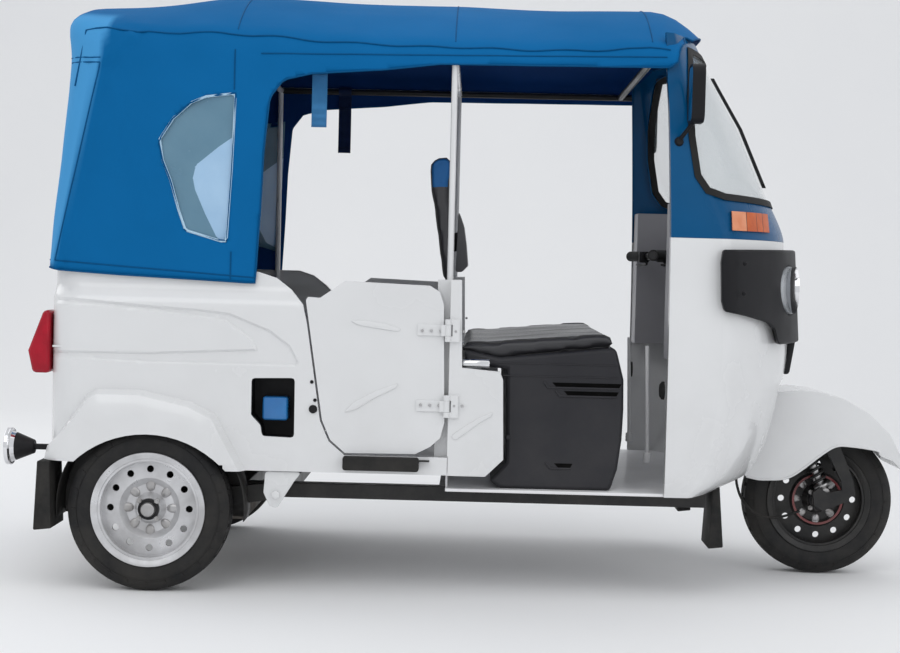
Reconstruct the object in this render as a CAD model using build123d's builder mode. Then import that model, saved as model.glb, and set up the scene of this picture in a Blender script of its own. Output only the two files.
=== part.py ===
"""Auto rickshaw: three-wheeler with a soft top, a driver's bench in front and a passenger bench behind.

Millimetres. +X is forwards, +Y is the vehicle's left, +Z is up. The origin is on the ground under the
middle of the vehicle's box. Outlines are lists of (x, z) points unless their names say otherwise.
"""

from build123d import *
import math
import os

os.makedirs("parts", exist_ok=True)

SIDES = (("right", -1), ("left", 1))  # (name, sign of Y)

# ---------------------------------------------------------------- driving dimensions
RUNNING_GAP = 0.05     # radial, shaft in a bore
SEAT_GAP = 0.3         # between curved or soft faces that sit on each other
FORM_GAP = 0.6         # between lofted faces that sit on each other
PANEL_GAP = 6.0        # round doors and lids
PAST = 40.0            # how far cutting bodies run past what they cut

WHEEL_R = 236.0
TYRE_W = 114.0
TYRE_BEAD_IN = 8.0      # how far in the tyre narrows at the rim
TYRE_SHOULDER = 14.0
RIM_WELL_R = 146.0
RIM_T = 7.0
RIM_HOLES = 12
RIM_HOLE_R = 10.0
RIM_HOLE_RING_R = 114.0
HUB_R = 46.0
HUB_W = 70.0
AXLE_R = 18.0

REAR_AXLE_X = -915.0
FRONT_AXLE_X = 1116.0
AXLE_Z = WHEEL_R
REAR_TRACK_HALF = 569.0

BODY_HALF_W = 600.0    # doors and side panels
WALL = 14.0            # body walls with their folded edges
SHEET = 6.0            # floors and inner panels
FLOOR_HALF_W = BODY_HALF_W - 20
FLOOR_Z = 314.0        # top of the driver's floor
REAR_FLOOR_Z = 356.0   # top of the passengers' floor

STEER_RAKE = 27.0      # degrees back from upright
STEER_POINT = (630.0, 1000.0)
STEM_R = 24.0
HEAD_TUBE_R = 34.0
HEAD_TUBE_Z = (640.0, 860.0)


def side_plane(sign, out):
    """Plane with X across and Z up, at a distance out on that side."""
    return Plane.XZ.offset(-sign * out)


def wheel_plane(x, z):
    """Plane through a wheel's axis, with Y across and the radius up."""
    return Plane(origin=(x, 0, z), x_dir=(0, 1, 0), z_dir=(1, 0, 0))


def steer_x(z):
    """X of the steering axis at a height."""
    return STEER_POINT[0] + (STEER_POINT[1] - z) * math.tan(math.radians(STEER_RAKE))


def steer_plane(z):
    """Plane square to the steering axis where the axis has that height, with X forwards."""
    rake = math.radians(STEER_RAKE)
    return Plane(
        origin=(steer_x(z), 0, z),
        x_dir=(math.cos(rake), 0, math.sin(rake)),
        z_dir=(-math.sin(rake), 0, math.cos(rake)),
    )


def steer_length(low_z, high_z):
    """Length along the steering axis between two heights."""
    return (high_z - low_z) / math.cos(math.radians(STEER_RAKE))


# ---------------------------------------------------------------- front form: cowl and windscreen frame
# Level sections: z, rear x, rear half width, side x, side half width, nose x
FRONT_ROWS = (
    (305, 563, BODY_HALF_W - 10, 640, BODY_HALF_W - 12, 806),
    (345, 563, BODY_HALF_W - 4, 680, BODY_HALF_W - 8, 893),
    (484, 563, BODY_HALF_W, 720, BODY_HALF_W - 10, 959),
    (740, 563, BODY_HALF_W, 750, BODY_HALF_W - 20, 999),
    (1050, 561, BODY_HALF_W - 2, 740, BODY_HALF_W - 32, 978),
    (1172, 558, BODY_HALF_W - 10, 690, BODY_HALF_W - 38, 929),
    (1400, 550, BODY_HALF_W - 28, 610, BODY_HALF_W - 40, 828),
    (1535, 543, BODY_HALF_W - 55, 585, BODY_HALF_W - 65, 746),
    (1640, 539, BODY_HALF_W - 70, 565, BODY_HALF_W - 88, 686),
)
COWL_ROWS = FRONT_ROWS[:5]
FRAME_ROWS = FRONT_ROWS[4:]
COWL_BOTTOM_Z = FRONT_ROWS[0][0]
COWL_TOP_Z = COWL_ROWS[-1][0]
FRAME_TOP_Z = FRAME_ROWS[-1][0]
FRONT_WALL = 16.0


def front_form(rows, inset, open_back=0.0):
    """Closed body through level sections, inset all round and let out behind."""
    with BuildPart() as form:
        for z, rear_x, rear_w, side_x, side_w, nose_x in rows:
            back_w = rear_w + (rear_w - side_w) / (side_x - rear_x) * open_back - inset
            with BuildSketch(Plane.XY.offset(z)):
                with BuildLine():
                    ThreePointArc(
                        (side_x, inset - side_w), (nose_x - inset, 0), (side_x, side_w - inset)
                    )
                    Polyline(
                        (side_x, side_w - inset),
                        (rear_x - open_back, back_w),
                        (rear_x - open_back, -back_w),
                        (side_x, inset - side_w),
                    )
                make_face()
        loft(ruled=True)
    return form.part


def past_ends(rows):
    """The same rows with one more below and above, so that a cut runs past both ends."""
    first, last = rows[0], rows[-1]
    return ((first[0] - 1, *first[1:]), *rows, (last[0] + 1, *last[1:]))


def half_width_at(z):
    """Half width of the front form's rear edge at a height."""
    for low, high in zip(FRONT_ROWS, FRONT_ROWS[1:]):
        if low[0] <= z <= high[0]:
            return low[2] + (high[2] - low[2]) * (z - low[0]) / (high[0] - low[0])


WHEEL_BAY_HALF_W = 262.0
WHEEL_BAY_X = 742.0
WHEEL_BAY_TOP = 630.0
BAY_EDGE = [(WHEEL_BAY_X, COWL_BOTTOM_Z + 20), (WHEEL_BAY_X, WHEEL_BAY_TOP), (960, WHEEL_BAY_TOP),
            (950, 484), (890, 380), (830, 330)]
cowl_hollow = front_form(past_ends(COWL_ROWS), FRONT_WALL, PAST)
lining_space = front_form(past_ends(FRONT_ROWS), FRONT_WALL + FORM_GAP, PAST)

with BuildPart() as front_cowl:
    add(front_form(COWL_ROWS, 0))
    add(cowl_hollow, mode=Mode.SUBTRACT)
    with BuildSketch(Plane.XY.offset(WHEEL_BAY_TOP)):
        with Locations((WHEEL_BAY_X, 0)):
            Rectangle(600, 2 * WHEEL_BAY_HALF_W, align=(Align.MIN, Align.CENTER))
    extrude(amount=-600, mode=Mode.SUBTRACT)
front_cowl.part.label = "front_cowl"
export_step(front_cowl.part, "parts/front_cowl.step")

# The bulkhead, with the walls and roof of the bay that the front wheel turns in.
with BuildPart() as bulkhead:
    with BuildSketch(Plane.XY.offset(COWL_BOTTOM_Z + 1)):
        with Locations((WHEEL_BAY_X, 0)):
            Rectangle(SHEET, 2 * BODY_HALF_W, align=(Align.MAX, Align.CENTER))
    extrude(amount=WHEEL_BAY_TOP - COWL_BOTTOM_Z + SHEET - 1)
    with BuildSketch(Plane.XY.offset(WHEEL_BAY_TOP)):
        with Locations((WHEEL_BAY_X - SHEET, 0)):
            Rectangle(600, 2 * (WHEEL_BAY_HALF_W + SHEET), align=(Align.MIN, Align.CENTER))
    extrude(amount=SHEET)
    for _, sign in SIDES:
        with BuildSketch(side_plane(sign, WHEEL_BAY_HALF_W)):
            with BuildLine():
                Polyline(*BAY_EDGE, close=True)
            make_face()
        extrude(amount=-sign * SHEET)
    # hole for the steering stem
    with BuildSketch(steer_plane(WHEEL_BAY_TOP)):
        Circle(HEAD_TUBE_R + 6)
    extrude(amount=100, both=True, mode=Mode.SUBTRACT)
    add(lining_space, mode=Mode.INTERSECT)
bulkhead.part.label = "bulkhead"
export_step(bulkhead.part, "parts/bulkhead.step")

# ---------------------------------------------------------------- soft top form
HEM_HALF_W = BODY_HALF_W - 25
# Soft top's cross sections: x, half width at the hem, half width at the shoulder, shoulder z, crown z
CANOPY_ROWS = (
    (-1300, HEM_HALF_W, BODY_HALF_W - 40, 1652, 1716),
    (-1055, HEM_HALF_W, BODY_HALF_W - 40, 1622, 1743),
    (-697, HEM_HALF_W, BODY_HALF_W - 40, 1602, 1784),
    (-95, HEM_HALF_W, BODY_HALF_W - 40, 1580, 1770),
    (545, HEM_HALF_W, BODY_HALF_W - 40, 1590, 1766),
    (613, HEM_HALF_W, BODY_HALF_W - 44, 1600, 1742),
    (720, HEM_HALF_W, BODY_HALF_W - 55, 1600, 1650),
)
CANOPY_T = 8.0
CANOPY_HEM_Z = 880.0


def canopy_loft(inset, drop=0.0):
    """Closed body of the soft top through its cross sections, before its plan is rounded."""
    with BuildPart() as form:
        for x, hem_w, shoulder_w, shoulder_z, crown_z in CANOPY_ROWS:
            with BuildSketch(Plane.YZ.offset(x)):
                with BuildLine():
                    ThreePointArc((-shoulder_w + inset, shoulder_z - inset), (0, crown_z - inset),
                                  (shoulder_w - inset, shoulder_z - inset))
                    Polyline((shoulder_w - inset, shoulder_z - inset), (hem_w - inset, CANOPY_HEM_Z - drop),
                             (inset - hem_w, CANOPY_HEM_Z - drop), (inset - shoulder_w, shoulder_z - inset))
                make_face()
        loft(ruled=True)
    return form.part


roof_underside = canopy_loft(CANOPY_T + SEAT_GAP, PAST)
with BuildPart() as above_roof:
    with BuildSketch(Plane.XY.offset(1500)):
        with Locations((500, 0)):
            Rectangle(210, 2 * BODY_HALF_W, align=(Align.MIN, Align.CENTER))
    extrude(amount=300)
    add(roof_underside, mode=Mode.SUBTRACT)

# ---------------------------------------------------------------- windscreen
SCREEN_EDGE = [(612, 1612), (601, 1450), (606, 1340), (626, 1225), (660, 1178), (720, 1162), (1100, 1150),
               (1100, 1612)]
SEAL_W = 20.0
SEAL_PROUD = 4.0
GLASS_T = 6.0


def screen_cutter(inset):
    """Side outline of the windscreen's opening, run right across the vehicle."""
    with BuildPart() as cutter:
        with BuildSketch(Plane.XZ):
            with BuildLine():
                Polyline(*SCREEN_EDGE, close=True)
            make_face()
            offset(amount=-inset, kind=Kind.INTERSECTION)
        extrude(amount=BODY_HALF_W + PAST, both=True)
    return cutter.part


with BuildPart() as windscreen_frame:
    add(front_form(FRAME_ROWS, 0))
    add(front_form(past_ends(FRAME_ROWS), FRONT_WALL, PAST), mode=Mode.SUBTRACT)
    add(screen_cutter(0), mode=Mode.SUBTRACT)
    add(above_roof.part, mode=Mode.SUBTRACT)
windscreen_frame.part.label = "windscreen_frame"
export_step(windscreen_frame.part, "parts/windscreen_frame.step")

with BuildPart() as windscreen_seal:
    add(front_form(past_ends(FRAME_ROWS), -SEAL_PROUD))
    add(front_form(past_ends(past_ends(FRAME_ROWS)), FRONT_WALL - 2, PAST), mode=Mode.SUBTRACT)
    add(screen_cutter(SEAT_GAP), mode=Mode.INTERSECT)
    add(screen_cutter(SEAL_W), mode=Mode.SUBTRACT)
windscreen_seal.part.label = "windscreen_seal"
export_step(windscreen_seal.part, "parts/windscreen_seal.step")

with BuildPart() as windscreen:
    add(front_form(FRAME_ROWS, SEAL_PROUD))
    add(front_form(past_ends(FRAME_ROWS), SEAL_PROUD + GLASS_T, PAST), mode=Mode.SUBTRACT)
    add(screen_cutter(SEAL_W + SEAT_GAP), mode=Mode.INTERSECT)
windscreen.part.label = "windscreen"
export_step(windscreen.part, "parts/windscreen.step")

# ---------------------------------------------------------------- lamps and grille on the cowl
HOUSING_EDGE = [(710, 1019), (705, 984), (709, 872), (718, 843), (786, 830), (860, 811), (890, 789), (905, 745),
                (1100, 745), (1100, 1030)]
HOUSING_PROUD = 34.0
HOUSING_INNER_Y = 180.0
LENS_R = 72.0
LENS_Y = 330.0
LENS_Z = 905.0

housing_outer = front_form(COWL_ROWS, -HOUSING_PROUD)
cowl_face = front_form(past_ends(COWL_ROWS), -FORM_GAP, PAST)


with BuildPart() as headlamp_housings:
    for _, sign in SIDES:
        with BuildSketch(side_plane(sign, HOUSING_INNER_Y)):
            with BuildLine():
                Polyline(*HOUSING_EDGE, close=True)
            make_face()
        extrude(amount=-sign * 500)
    add(housing_outer, mode=Mode.INTERSECT)
    add(cowl_face, mode=Mode.SUBTRACT)
    for _, sign in SIDES:
        with BuildSketch(Plane.YZ.offset(800)):
            with Locations((sign * LENS_Y, LENS_Z)):
                Circle(LENS_R)
        extrude(amount=400, mode=Mode.SUBTRACT)
headlamp_housings.part.label = "headlamp_housings"
export_step(headlamp_housings.part, "parts/headlamp_housings.step")

with BuildPart() as headlamp_lenses:
    for _, sign in SIDES:
        with BuildSketch(Plane.YZ.offset(800)):
            with Locations((sign * LENS_Y, LENS_Z)):
                Circle(LENS_R - SEAT_GAP)
        extrude(amount=400)
    add(front_form(COWL_ROWS, -HOUSING_PROUD - 4), mode=Mode.INTERSECT)
    add(cowl_face, mode=Mode.SUBTRACT)
headlamp_lenses.part.label = "headlamp_lenses"
export_step(headlamp_lenses.part, "parts/headlamp_lenses.step")

GRILLE_EDGE_YZ = [(-176, 1000), (176, 1000), (176, 800), (140, 640), (-140, 640), (-176, 800)]
GRILLE_PROUD = 22.0
with BuildPart() as front_grille:
    with BuildSketch(Plane.YZ.offset(800)):
        with BuildLine():
            Polyline(*GRILLE_EDGE_YZ, close=True)
        make_face()
    extrude(amount=400)
    add(front_form(COWL_ROWS, -GRILLE_PROUD), mode=Mode.INTERSECT)
    add(cowl_face, mode=Mode.SUBTRACT)
front_grille.part.label = "front_grille"
export_step(front_grille.part, "parts/front_grille.step")

SIGNAL_X = (739.0, 875.0)
SIGNAL_Z = (1075.0, 1131.0)
SIGNAL_PROUD = 12.0
with BuildPart() as turn_signals:
    for _, sign in SIDES:
        with BuildSketch(side_plane(sign, 300)):
            with Locations(((SIGNAL_X[0] + SIGNAL_X[1]) / 2, (SIGNAL_Z[0] + SIGNAL_Z[1]) / 2)):
                Rectangle(SIGNAL_X[1] - SIGNAL_X[0], SIGNAL_Z[1] - SIGNAL_Z[0])
        extrude(amount=-sign * 300)
    add(front_form(FRAME_ROWS, -SIGNAL_PROUD), mode=Mode.INTERSECT)
    add(front_form(past_ends(FRAME_ROWS), -FORM_GAP, PAST), mode=Mode.SUBTRACT)
turn_signals.part.label = "turn_signals"
export_step(turn_signals.part, "parts/turn_signals.step")

# ---------------------------------------------------------------- dash
DASH_FACE_X = 790.0
DASH_T = 12.0
DASH_Z = (700.0, 1150.0)
LINING_T = 8.0
LINING_X = 565.0
with BuildPart() as dash_panel:
    with BuildSketch(Plane.XY.offset(DASH_Z[0])):
        with Locations((LINING_X, 0)):
            Rectangle(DASH_FACE_X + DASH_T - LINING_X, 2 * BODY_HALF_W, align=(Align.MIN, Align.CENTER))
    extrude(amount=DASH_Z[1] - DASH_Z[0])
    add(lining_space, mode=Mode.INTERSECT)
    with BuildSketch(Plane.XY.offset(DASH_Z[0] - 1)):
        with Locations((LINING_X - 1, 0)):
            Rectangle(DASH_FACE_X - LINING_X + 1, 900, align=(Align.MIN, Align.CENTER))
    extrude(amount=DASH_Z[1] - DASH_Z[0] + 2, mode=Mode.SUBTRACT)
    with BuildSketch(steer_plane(DASH_Z[0])):
        Circle(HEAD_TUBE_R + 6)
    extrude(amount=100, both=True, mode=Mode.SUBTRACT)
dash_panel.part.label = "dash_panel"
export_step(dash_panel.part, "parts/dash_panel.step")

# ---------------------------------------------------------------- floor, sills and frame
FLOOR_FRONT_X = WHEEL_BAY_X - SHEET
FLOOR_T = 9.0
FLOOR_REAR_X = -66.0
TUB_REAR_X = -1220.0
PASSENGER_FLOOR_X = (-620.0, -66.0)
COWL_REAR_X = FRONT_ROWS[0][1]
with BuildPart() as floor_front:
    with BuildSketch(Plane.XY.offset(FLOOR_Z - FLOOR_T)):
        with Locations((FLOOR_FRONT_X, 0)):
            Rectangle(FLOOR_FRONT_X - COWL_REAR_X + PAST / 2, 2 * BODY_HALF_W, align=(Align.MAX, Align.CENTER))
    extrude(amount=FLOOR_T)
    add(lining_space, mode=Mode.INTERSECT)

with BuildPart() as floor_pan:
    add(floor_front)
    with BuildSketch(Plane.XY.offset(FLOOR_Z - FLOOR_T)):
        with Locations((FLOOR_REAR_X, 0)):
            Rectangle(COWL_REAR_X - SEAT_GAP - FLOOR_REAR_X, 2 * FLOOR_HALF_W, align=(Align.MIN, Align.CENTER))
    extrude(amount=FLOOR_T)
    # riser and passengers' floor
    with BuildSketch(Plane.XY.offset(FLOOR_Z)):
        with Locations((FLOOR_REAR_X, 0)):
            Rectangle(SHEET, 2 * (FLOOR_HALF_W - 40), align=(Align.MIN, Align.CENTER))
    extrude(amount=REAR_FLOOR_Z - FLOOR_Z)
    with BuildSketch(Plane.XY.offset(REAR_FLOOR_Z - SHEET)):
        with Locations((PASSENGER_FLOOR_X[0], 0)):
            Rectangle(PASSENGER_FLOOR_X[1] - PASSENGER_FLOOR_X[0] + SHEET, 2 * (FLOOR_HALF_W - 40),
                      align=(Align.MIN, Align.CENTER))
    extrude(amount=SHEET)
floor_pan.part.label = "floor_pan"
export_step(floor_pan.part, "parts/floor_pan.step")

# Chassis frame: rails along the vehicle, cross members, backbone to the steering head
RAIL_Y = 450.0
RAIL_W = 40.0
RAIL_H = 44.0
RAIL_TOP_Z = FLOOR_Z - FLOOR_T
REAR_RAIL_X = -1150.0
ENGINE_X = (-1060.0, -690.0)
CROSS_X = (ENGINE_X[0] - RAIL_W / 2, ENGINE_X[1] + RAIL_W / 2, -540.0, -66.0, 300.0, 640.0)
with BuildPart() as chassis_frame:
    for _, sign in SIDES:
        with BuildSketch(Plane.XY.offset(RAIL_TOP_Z - RAIL_H)):
            with Locations((REAR_RAIL_X, sign * RAIL_Y)):
                Rectangle(700 - REAR_RAIL_X, RAIL_W, align=(Align.MIN, Align.CENTER))
        extrude(amount=RAIL_H)
    with BuildSketch(Plane.XY.offset(RAIL_TOP_Z - RAIL_H)):
        with Locations(*[(x, 0) for x in CROSS_X]):
            Rectangle(RAIL_W, 2 * RAIL_Y)
    extrude(amount=RAIL_H)
chassis_frame.part.label = "chassis_frame"
export_step(chassis_frame.part, "parts/chassis_frame.step")

HEAD_POST_X = (690.0, FLOOR_FRONT_X)
HEAD_POST_TOP_Z = 790.0
with BuildPart() as steering_head:
    with BuildSketch(steer_plane(HEAD_TUBE_Z[0])):
        Circle(HEAD_TUBE_R)
    extrude(amount=steer_length(*HEAD_TUBE_Z))
    with BuildSketch(Plane.XY.offset(FLOOR_Z)):
        with Locations((HEAD_POST_X[1], 0)):
            Rectangle(HEAD_POST_X[1] - HEAD_POST_X[0], 60, align=(Align.MAX, Align.CENTER))
    extrude(amount=HEAD_POST_TOP_Z - FLOOR_Z)
    with BuildSketch(steer_plane(HEAD_TUBE_Z[0])):
        Circle(STEM_R + RUNNING_GAP)
    extrude(amount=600, both=True, mode=Mode.SUBTRACT)
steering_head.part.label = "steering_head"
export_step(steering_head.part, "parts/steering_head.step")

# ---------------------------------------------------------------- rear body tub
TUB_BOTTOM_Z = 372.0
SILL_Z = (354.0, 405.0)
TUB_TOP_Z = 924.0
TUB_EDGE = [(TUB_REAR_X, TUB_BOTTOM_Z), (TUB_REAR_X, TUB_TOP_Z), (-617, TUB_TOP_Z), (-566, 908), (-522, 875),
            (-484, 833), (-474, 790), (-455, 704), (-430, 576), (-408, 476), (-384, 434), (-357, SILL_Z[1]),
            (-62, SILL_Z[1]), (-62, SILL_Z[0]), (-700, SILL_Z[0]), (-700, TUB_BOTTOM_Z)]
ARCH_CENTRE = (-918.0, 152.0)
ARCH_R = 305.0
WHEELHOUSE_R = WHEEL_R + 30.0
FLARE_EDGE = [(-1238, TUB_BOTTOM_Z), (-1171, 459), (-1100, 561), (-1072, 579), (-943, 579), (-799, 548),
              (-727, 513), (-688, 442), (-650, TUB_BOTTOM_Z)]
FLARE_OUT = 48.0       # how far the rear arches stand out
FLARE_TAPER = 34.0
FLARE_WALL = 11.0
CORNER_R = 95.0        # rear corners of the tub and of the soft top

NECK_HALF_W = HEM_HALF_W - CANOPY_T - 2.0  # the tub's top, inside the hem
# Level sections of the tub: z, half width, corner radius
TUB_ROWS = (
    (300, BODY_HALF_W, CORNER_R),
    (832, BODY_HALF_W, CORNER_R),
    (880, NECK_HALF_W, CORNER_R - CANOPY_T),
    (TUB_TOP_Z + 1, NECK_HALF_W, CORNER_R - CANOPY_T),
)


def tub_form(rows, inset):
    """Body of the tub, leaning in above the waist, with rounded rear corners."""
    with BuildPart() as form:
        for z, half_w, corner_r in rows:
            with BuildSketch(Plane.XY.offset(z)):
                with Locations((TUB_REAR_X + inset, 0)):
                    RectangleRounded(2 * abs(TUB_REAR_X), 2 * (half_w - inset), corner_r - inset,
                                     align=(Align.MIN, Align.CENTER))
        loft(ruled=True)
    return form.part


LID_HALF_W = 400.0
LID_Z = (440.0, 690.0)
DECK_Z = 700.0
RECESS_EDGE = [(-627, 620), (-503, 623), (-502, 451), (-594, 454), (-600, 486), (-627, 514)]
DECK_FRONT_X = -690.0
DOOR_EDGE = [(-476, 847), (-470, 856), (-436, 854), (-365, 904), (-222, 899), (-122, 896), (-93, 879),
             (-81, 842), (-72, 505), (-83, 461), (-111, 435), (-154, 413), (-355, 411), (-398, 448),
             (-423, 504)]
tub_outer = tub_form(TUB_ROWS, 0)
tub_inner = tub_form(past_ends(TUB_ROWS), WALL)
LID_HINGE_X = TUB_REAR_X - 7.0
LID_HINGE_Z = LID_Z[1] - PANEL_GAP / 2
LID_HINGE_Y = (-250.0, 250.0)
LID_KNUCKLE_W = 30.0
with BuildPart() as rear_body:
    with BuildSketch(Plane.XZ):
        with BuildLine():
            Polyline(*TUB_EDGE, close=True)
        make_face()
    extrude(amount=BODY_HALF_W, both=True)
    add(tub_outer, mode=Mode.INTERSECT)
    add(tub_inner, mode=Mode.SUBTRACT)
    for _, sign in SIDES:
        with BuildSketch(side_plane(sign, BODY_HALF_W)):
            with BuildLine():
                Polyline(*FLARE_EDGE, close=True)
            make_face()
        extrude(amount=-sign * FLARE_OUT, taper=FLARE_TAPER)
        with BuildSketch(side_plane(sign, BODY_HALF_W - WALL - 1)):
            with Locations((REAR_AXLE_X, AXLE_Z)):
                Circle(WHEELHOUSE_R)
        extrude(amount=-sign * (WALL + 1 + FLARE_OUT - FLARE_WALL), mode=Mode.SUBTRACT)
        with BuildSketch(side_plane(sign, BODY_HALF_W - WALL)):
            with Locations(ARCH_CENTRE):
                Circle(ARCH_R)
        extrude(amount=-sign * 200, mode=Mode.SUBTRACT)
    # door gap
    with BuildSketch(Plane.XZ):
        with BuildLine():
            Polyline(*DOOR_EDGE, close=True)
        make_face()
        offset(amount=PANEL_GAP, kind=Kind.INTERSECTION)
    extrude(amount=BODY_HALF_W + PAST, both=True, mode=Mode.SUBTRACT)
    # engine deck
    with BuildSketch(Plane.XY.offset(DECK_Z - SHEET)):
        with Locations((TUB_REAR_X + WALL, 0)):
            Rectangle(DECK_FRONT_X - TUB_REAR_X - WALL, 2 * (BODY_HALF_W - WALL),
                      align=(Align.MIN, Align.CENTER))
    extrude(amount=SHEET)
    # opening of the engine lid
    with BuildSketch(Plane.YZ.offset(TUB_REAR_X - 10)):
        with Locations((0, (LID_Z[0] + LID_Z[1]) / 2)):
            Rectangle(2 * LID_HALF_W, LID_Z[1] - LID_Z[0])
    extrude(amount=60, mode=Mode.SUBTRACT)
    # service recess on the right
    with BuildSketch(side_plane(-1, BODY_HALF_W + 10)):
        with BuildLine():
            Polyline(*RECESS_EDGE, close=True)
        make_face()
    extrude(amount=-WALL - 20, mode=Mode.SUBTRACT)
    # knuckles and pins of the engine lid's hinges
    for y in LID_HINGE_Y:
        for shift in (-LID_KNUCKLE_W, LID_KNUCKLE_W):
            with BuildSketch(Plane.XZ.offset(-y - shift)):
                with Locations((LID_HINGE_X, LID_HINGE_Z)):
                    Circle(6)
                with Locations((LID_HINGE_X, LID_HINGE_Z)):
                    Rectangle(TUB_REAR_X - LID_HINGE_X + 1, 16, align=(Align.MIN, Align.MIN))
            extrude(amount=LID_KNUCKLE_W / 2 - 0.5, both=True)
        with BuildSketch(Plane.XZ.offset(-y)):
            with Locations((LID_HINGE_X, LID_HINGE_Z)):
                Circle(3.5)
        extrude(amount=LID_KNUCKLE_W, both=True)
rear_body.part.label = "rear_body"
export_step(rear_body.part, "parts/rear_body.step")

# ---------------------------------------------------------------- canopy
CANOPY_REAR_X = TUB_REAR_X - CANOPY_T - SEAT_GAP
CANOPY_NOSE_X = 692.0
NOSE_SIDE_X = 572.0
HOOD_EDGE = {-1: -612.0, 1: -672.0}  # front edge of the closed rear part, by side
SIDE_OPENING = [(-14, 892), (-3, 1102), (3, 1266), (17, 1425), (56, 1476), (139, 1496), (343, 1511),
                (506, 1531)]
FRONT_CUT = [(545, 1535), (592, 1560), (600, FRAME_TOP_Z + SEAT_GAP), (900, FRAME_TOP_Z + SEAT_GAP),
             (900, 800)]
WINDOW_EDGE = [(-693, 1434), (-779, 1423), (-821, 1405), (-872, 1358), (-911, 1295), (-899, 1238),
               (-875, 1181), (-850, 1096), (-829, 1039), (-711, 1005), (-700, 1214)]
REAR_WINDOW = (600.0, 230.0, 1290.0)  # width, height, centre z


def canopy_form(inset, drop=0.0):
    """Closed body of the soft top with its plan's rounded ends."""
    with BuildPart() as form:
        add(canopy_loft(inset, drop))
        corner = CORNER_R - inset
        rear_x, nose_x = CANOPY_REAR_X + inset, CANOPY_NOSE_X - inset
        half_w = HEM_HALF_W - inset
        with BuildSketch(Plane.XY.offset(CANOPY_HEM_Z - PAST)):
            with BuildLine():
                ThreePointArc((NOSE_SIDE_X, half_w), (nose_x, 0), (NOSE_SIDE_X, -half_w))
                FilletPolyline((NOSE_SIDE_X, -half_w), (rear_x, -half_w), (rear_x, half_w),
                               (NOSE_SIDE_X, half_w), radius=corner)
            make_face()
        extrude(amount=1200, mode=Mode.INTERSECT)
    return form.part


def window_cutter(spread):
    """The side windows' outline, let out all round, on both sides."""
    with BuildPart() as cutter:
        with BuildSketch(Plane.XZ):
            with BuildLine():
                Polyline(*WINDOW_EDGE, close=True)
            make_face()
            if spread:
                offset(amount=spread, kind=Kind.INTERSECTION)
        extrude(amount=BODY_HALF_W + PAST, both=True)
        with BuildSketch(Plane.YZ.offset(-900)):
            with Locations((0, REAR_WINDOW[2])):
                Rectangle(REAR_WINDOW[0] + 2 * spread, REAR_WINDOW[1] + 2 * spread)
        extrude(amount=-500)
    return cutter.part


canopy_inner = canopy_form(CANOPY_T, PAST)
with BuildPart() as canopy:
    add(canopy_form(0))
    add(canopy_inner, mode=Mode.SUBTRACT)
    # rear hem rises a little to the front
    with BuildSketch(Plane.XZ):
        with BuildLine():
            Polyline((-1400, 930), (-1228, 926), (-932, 907), (-560, 888), (-560, 800), (-1400, 800), close=True)
        make_face()
    extrude(amount=700, both=True, mode=Mode.SUBTRACT)
    for _, sign in SIDES:
        with BuildSketch(Plane.XZ):
            with BuildLine():
                Polyline(*[(HOOD_EDGE[sign] + x, z) for x, z in SIDE_OPENING], *FRONT_CUT,
                         (HOOD_EDGE[sign] - 14, 800), close=True)
            make_face()
        extrude(amount=-sign * 700, mode=Mode.SUBTRACT)
    add(window_cutter(0), mode=Mode.SUBTRACT)
canopy.part.label = "canopy"
export_step(canopy.part, "parts/canopy.step")

with BuildPart() as window_films:
    add(canopy_form(CANOPY_T + SEAT_GAP, PAST))
    add(canopy_form(CANOPY_T + SEAT_GAP + 2, 2 * PAST), mode=Mode.SUBTRACT)
    add(window_cutter(14), mode=Mode.INTERSECT)
window_films.part.label = "window_films"
export_step(window_films.part, "parts/window_films.step")

# ---------------------------------------------------------------- side panels and doors
PANEL_EDGE = [(-62, 408), (-62, 915), (-31, 915), (-25, 664), (84, 655), (93, 632), (99, 403), (48, 353),
              (-60, 353), (-60, 408)]
DOOR_T = 28.0
POST_TOP_Z = 914.0
POST_Y = (BODY_HALF_W - 70, BODY_HALF_W - 38)
POST_X = (-100.0, -40.0)
POST_PLAN = [(POST_X[0], POST_Y[0]), (POST_X[1], POST_Y[0]), (POST_X[1], BODY_HALF_W - WALL),
             (-58, BODY_HALF_W - WALL), (-58, POST_Y[1]), (POST_X[0], POST_Y[1])]
HINGE_X = -67.0
HINGE_OUT = BODY_HALF_W + 11  # how far out the hinge axis stands
HINGE_R = 9.0
HINGE_PIN_R = 5.0
HINGE_H = 64.0
HINGE_Z = (553.0, 770.0)
LEAF_T = 5.0
DOOR_LEAF_X = -154.0
PANEL_LEAF_X = -34.0
KNUCKLE_H = 32.0       # the door's knuckle, between two of the panel's

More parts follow.
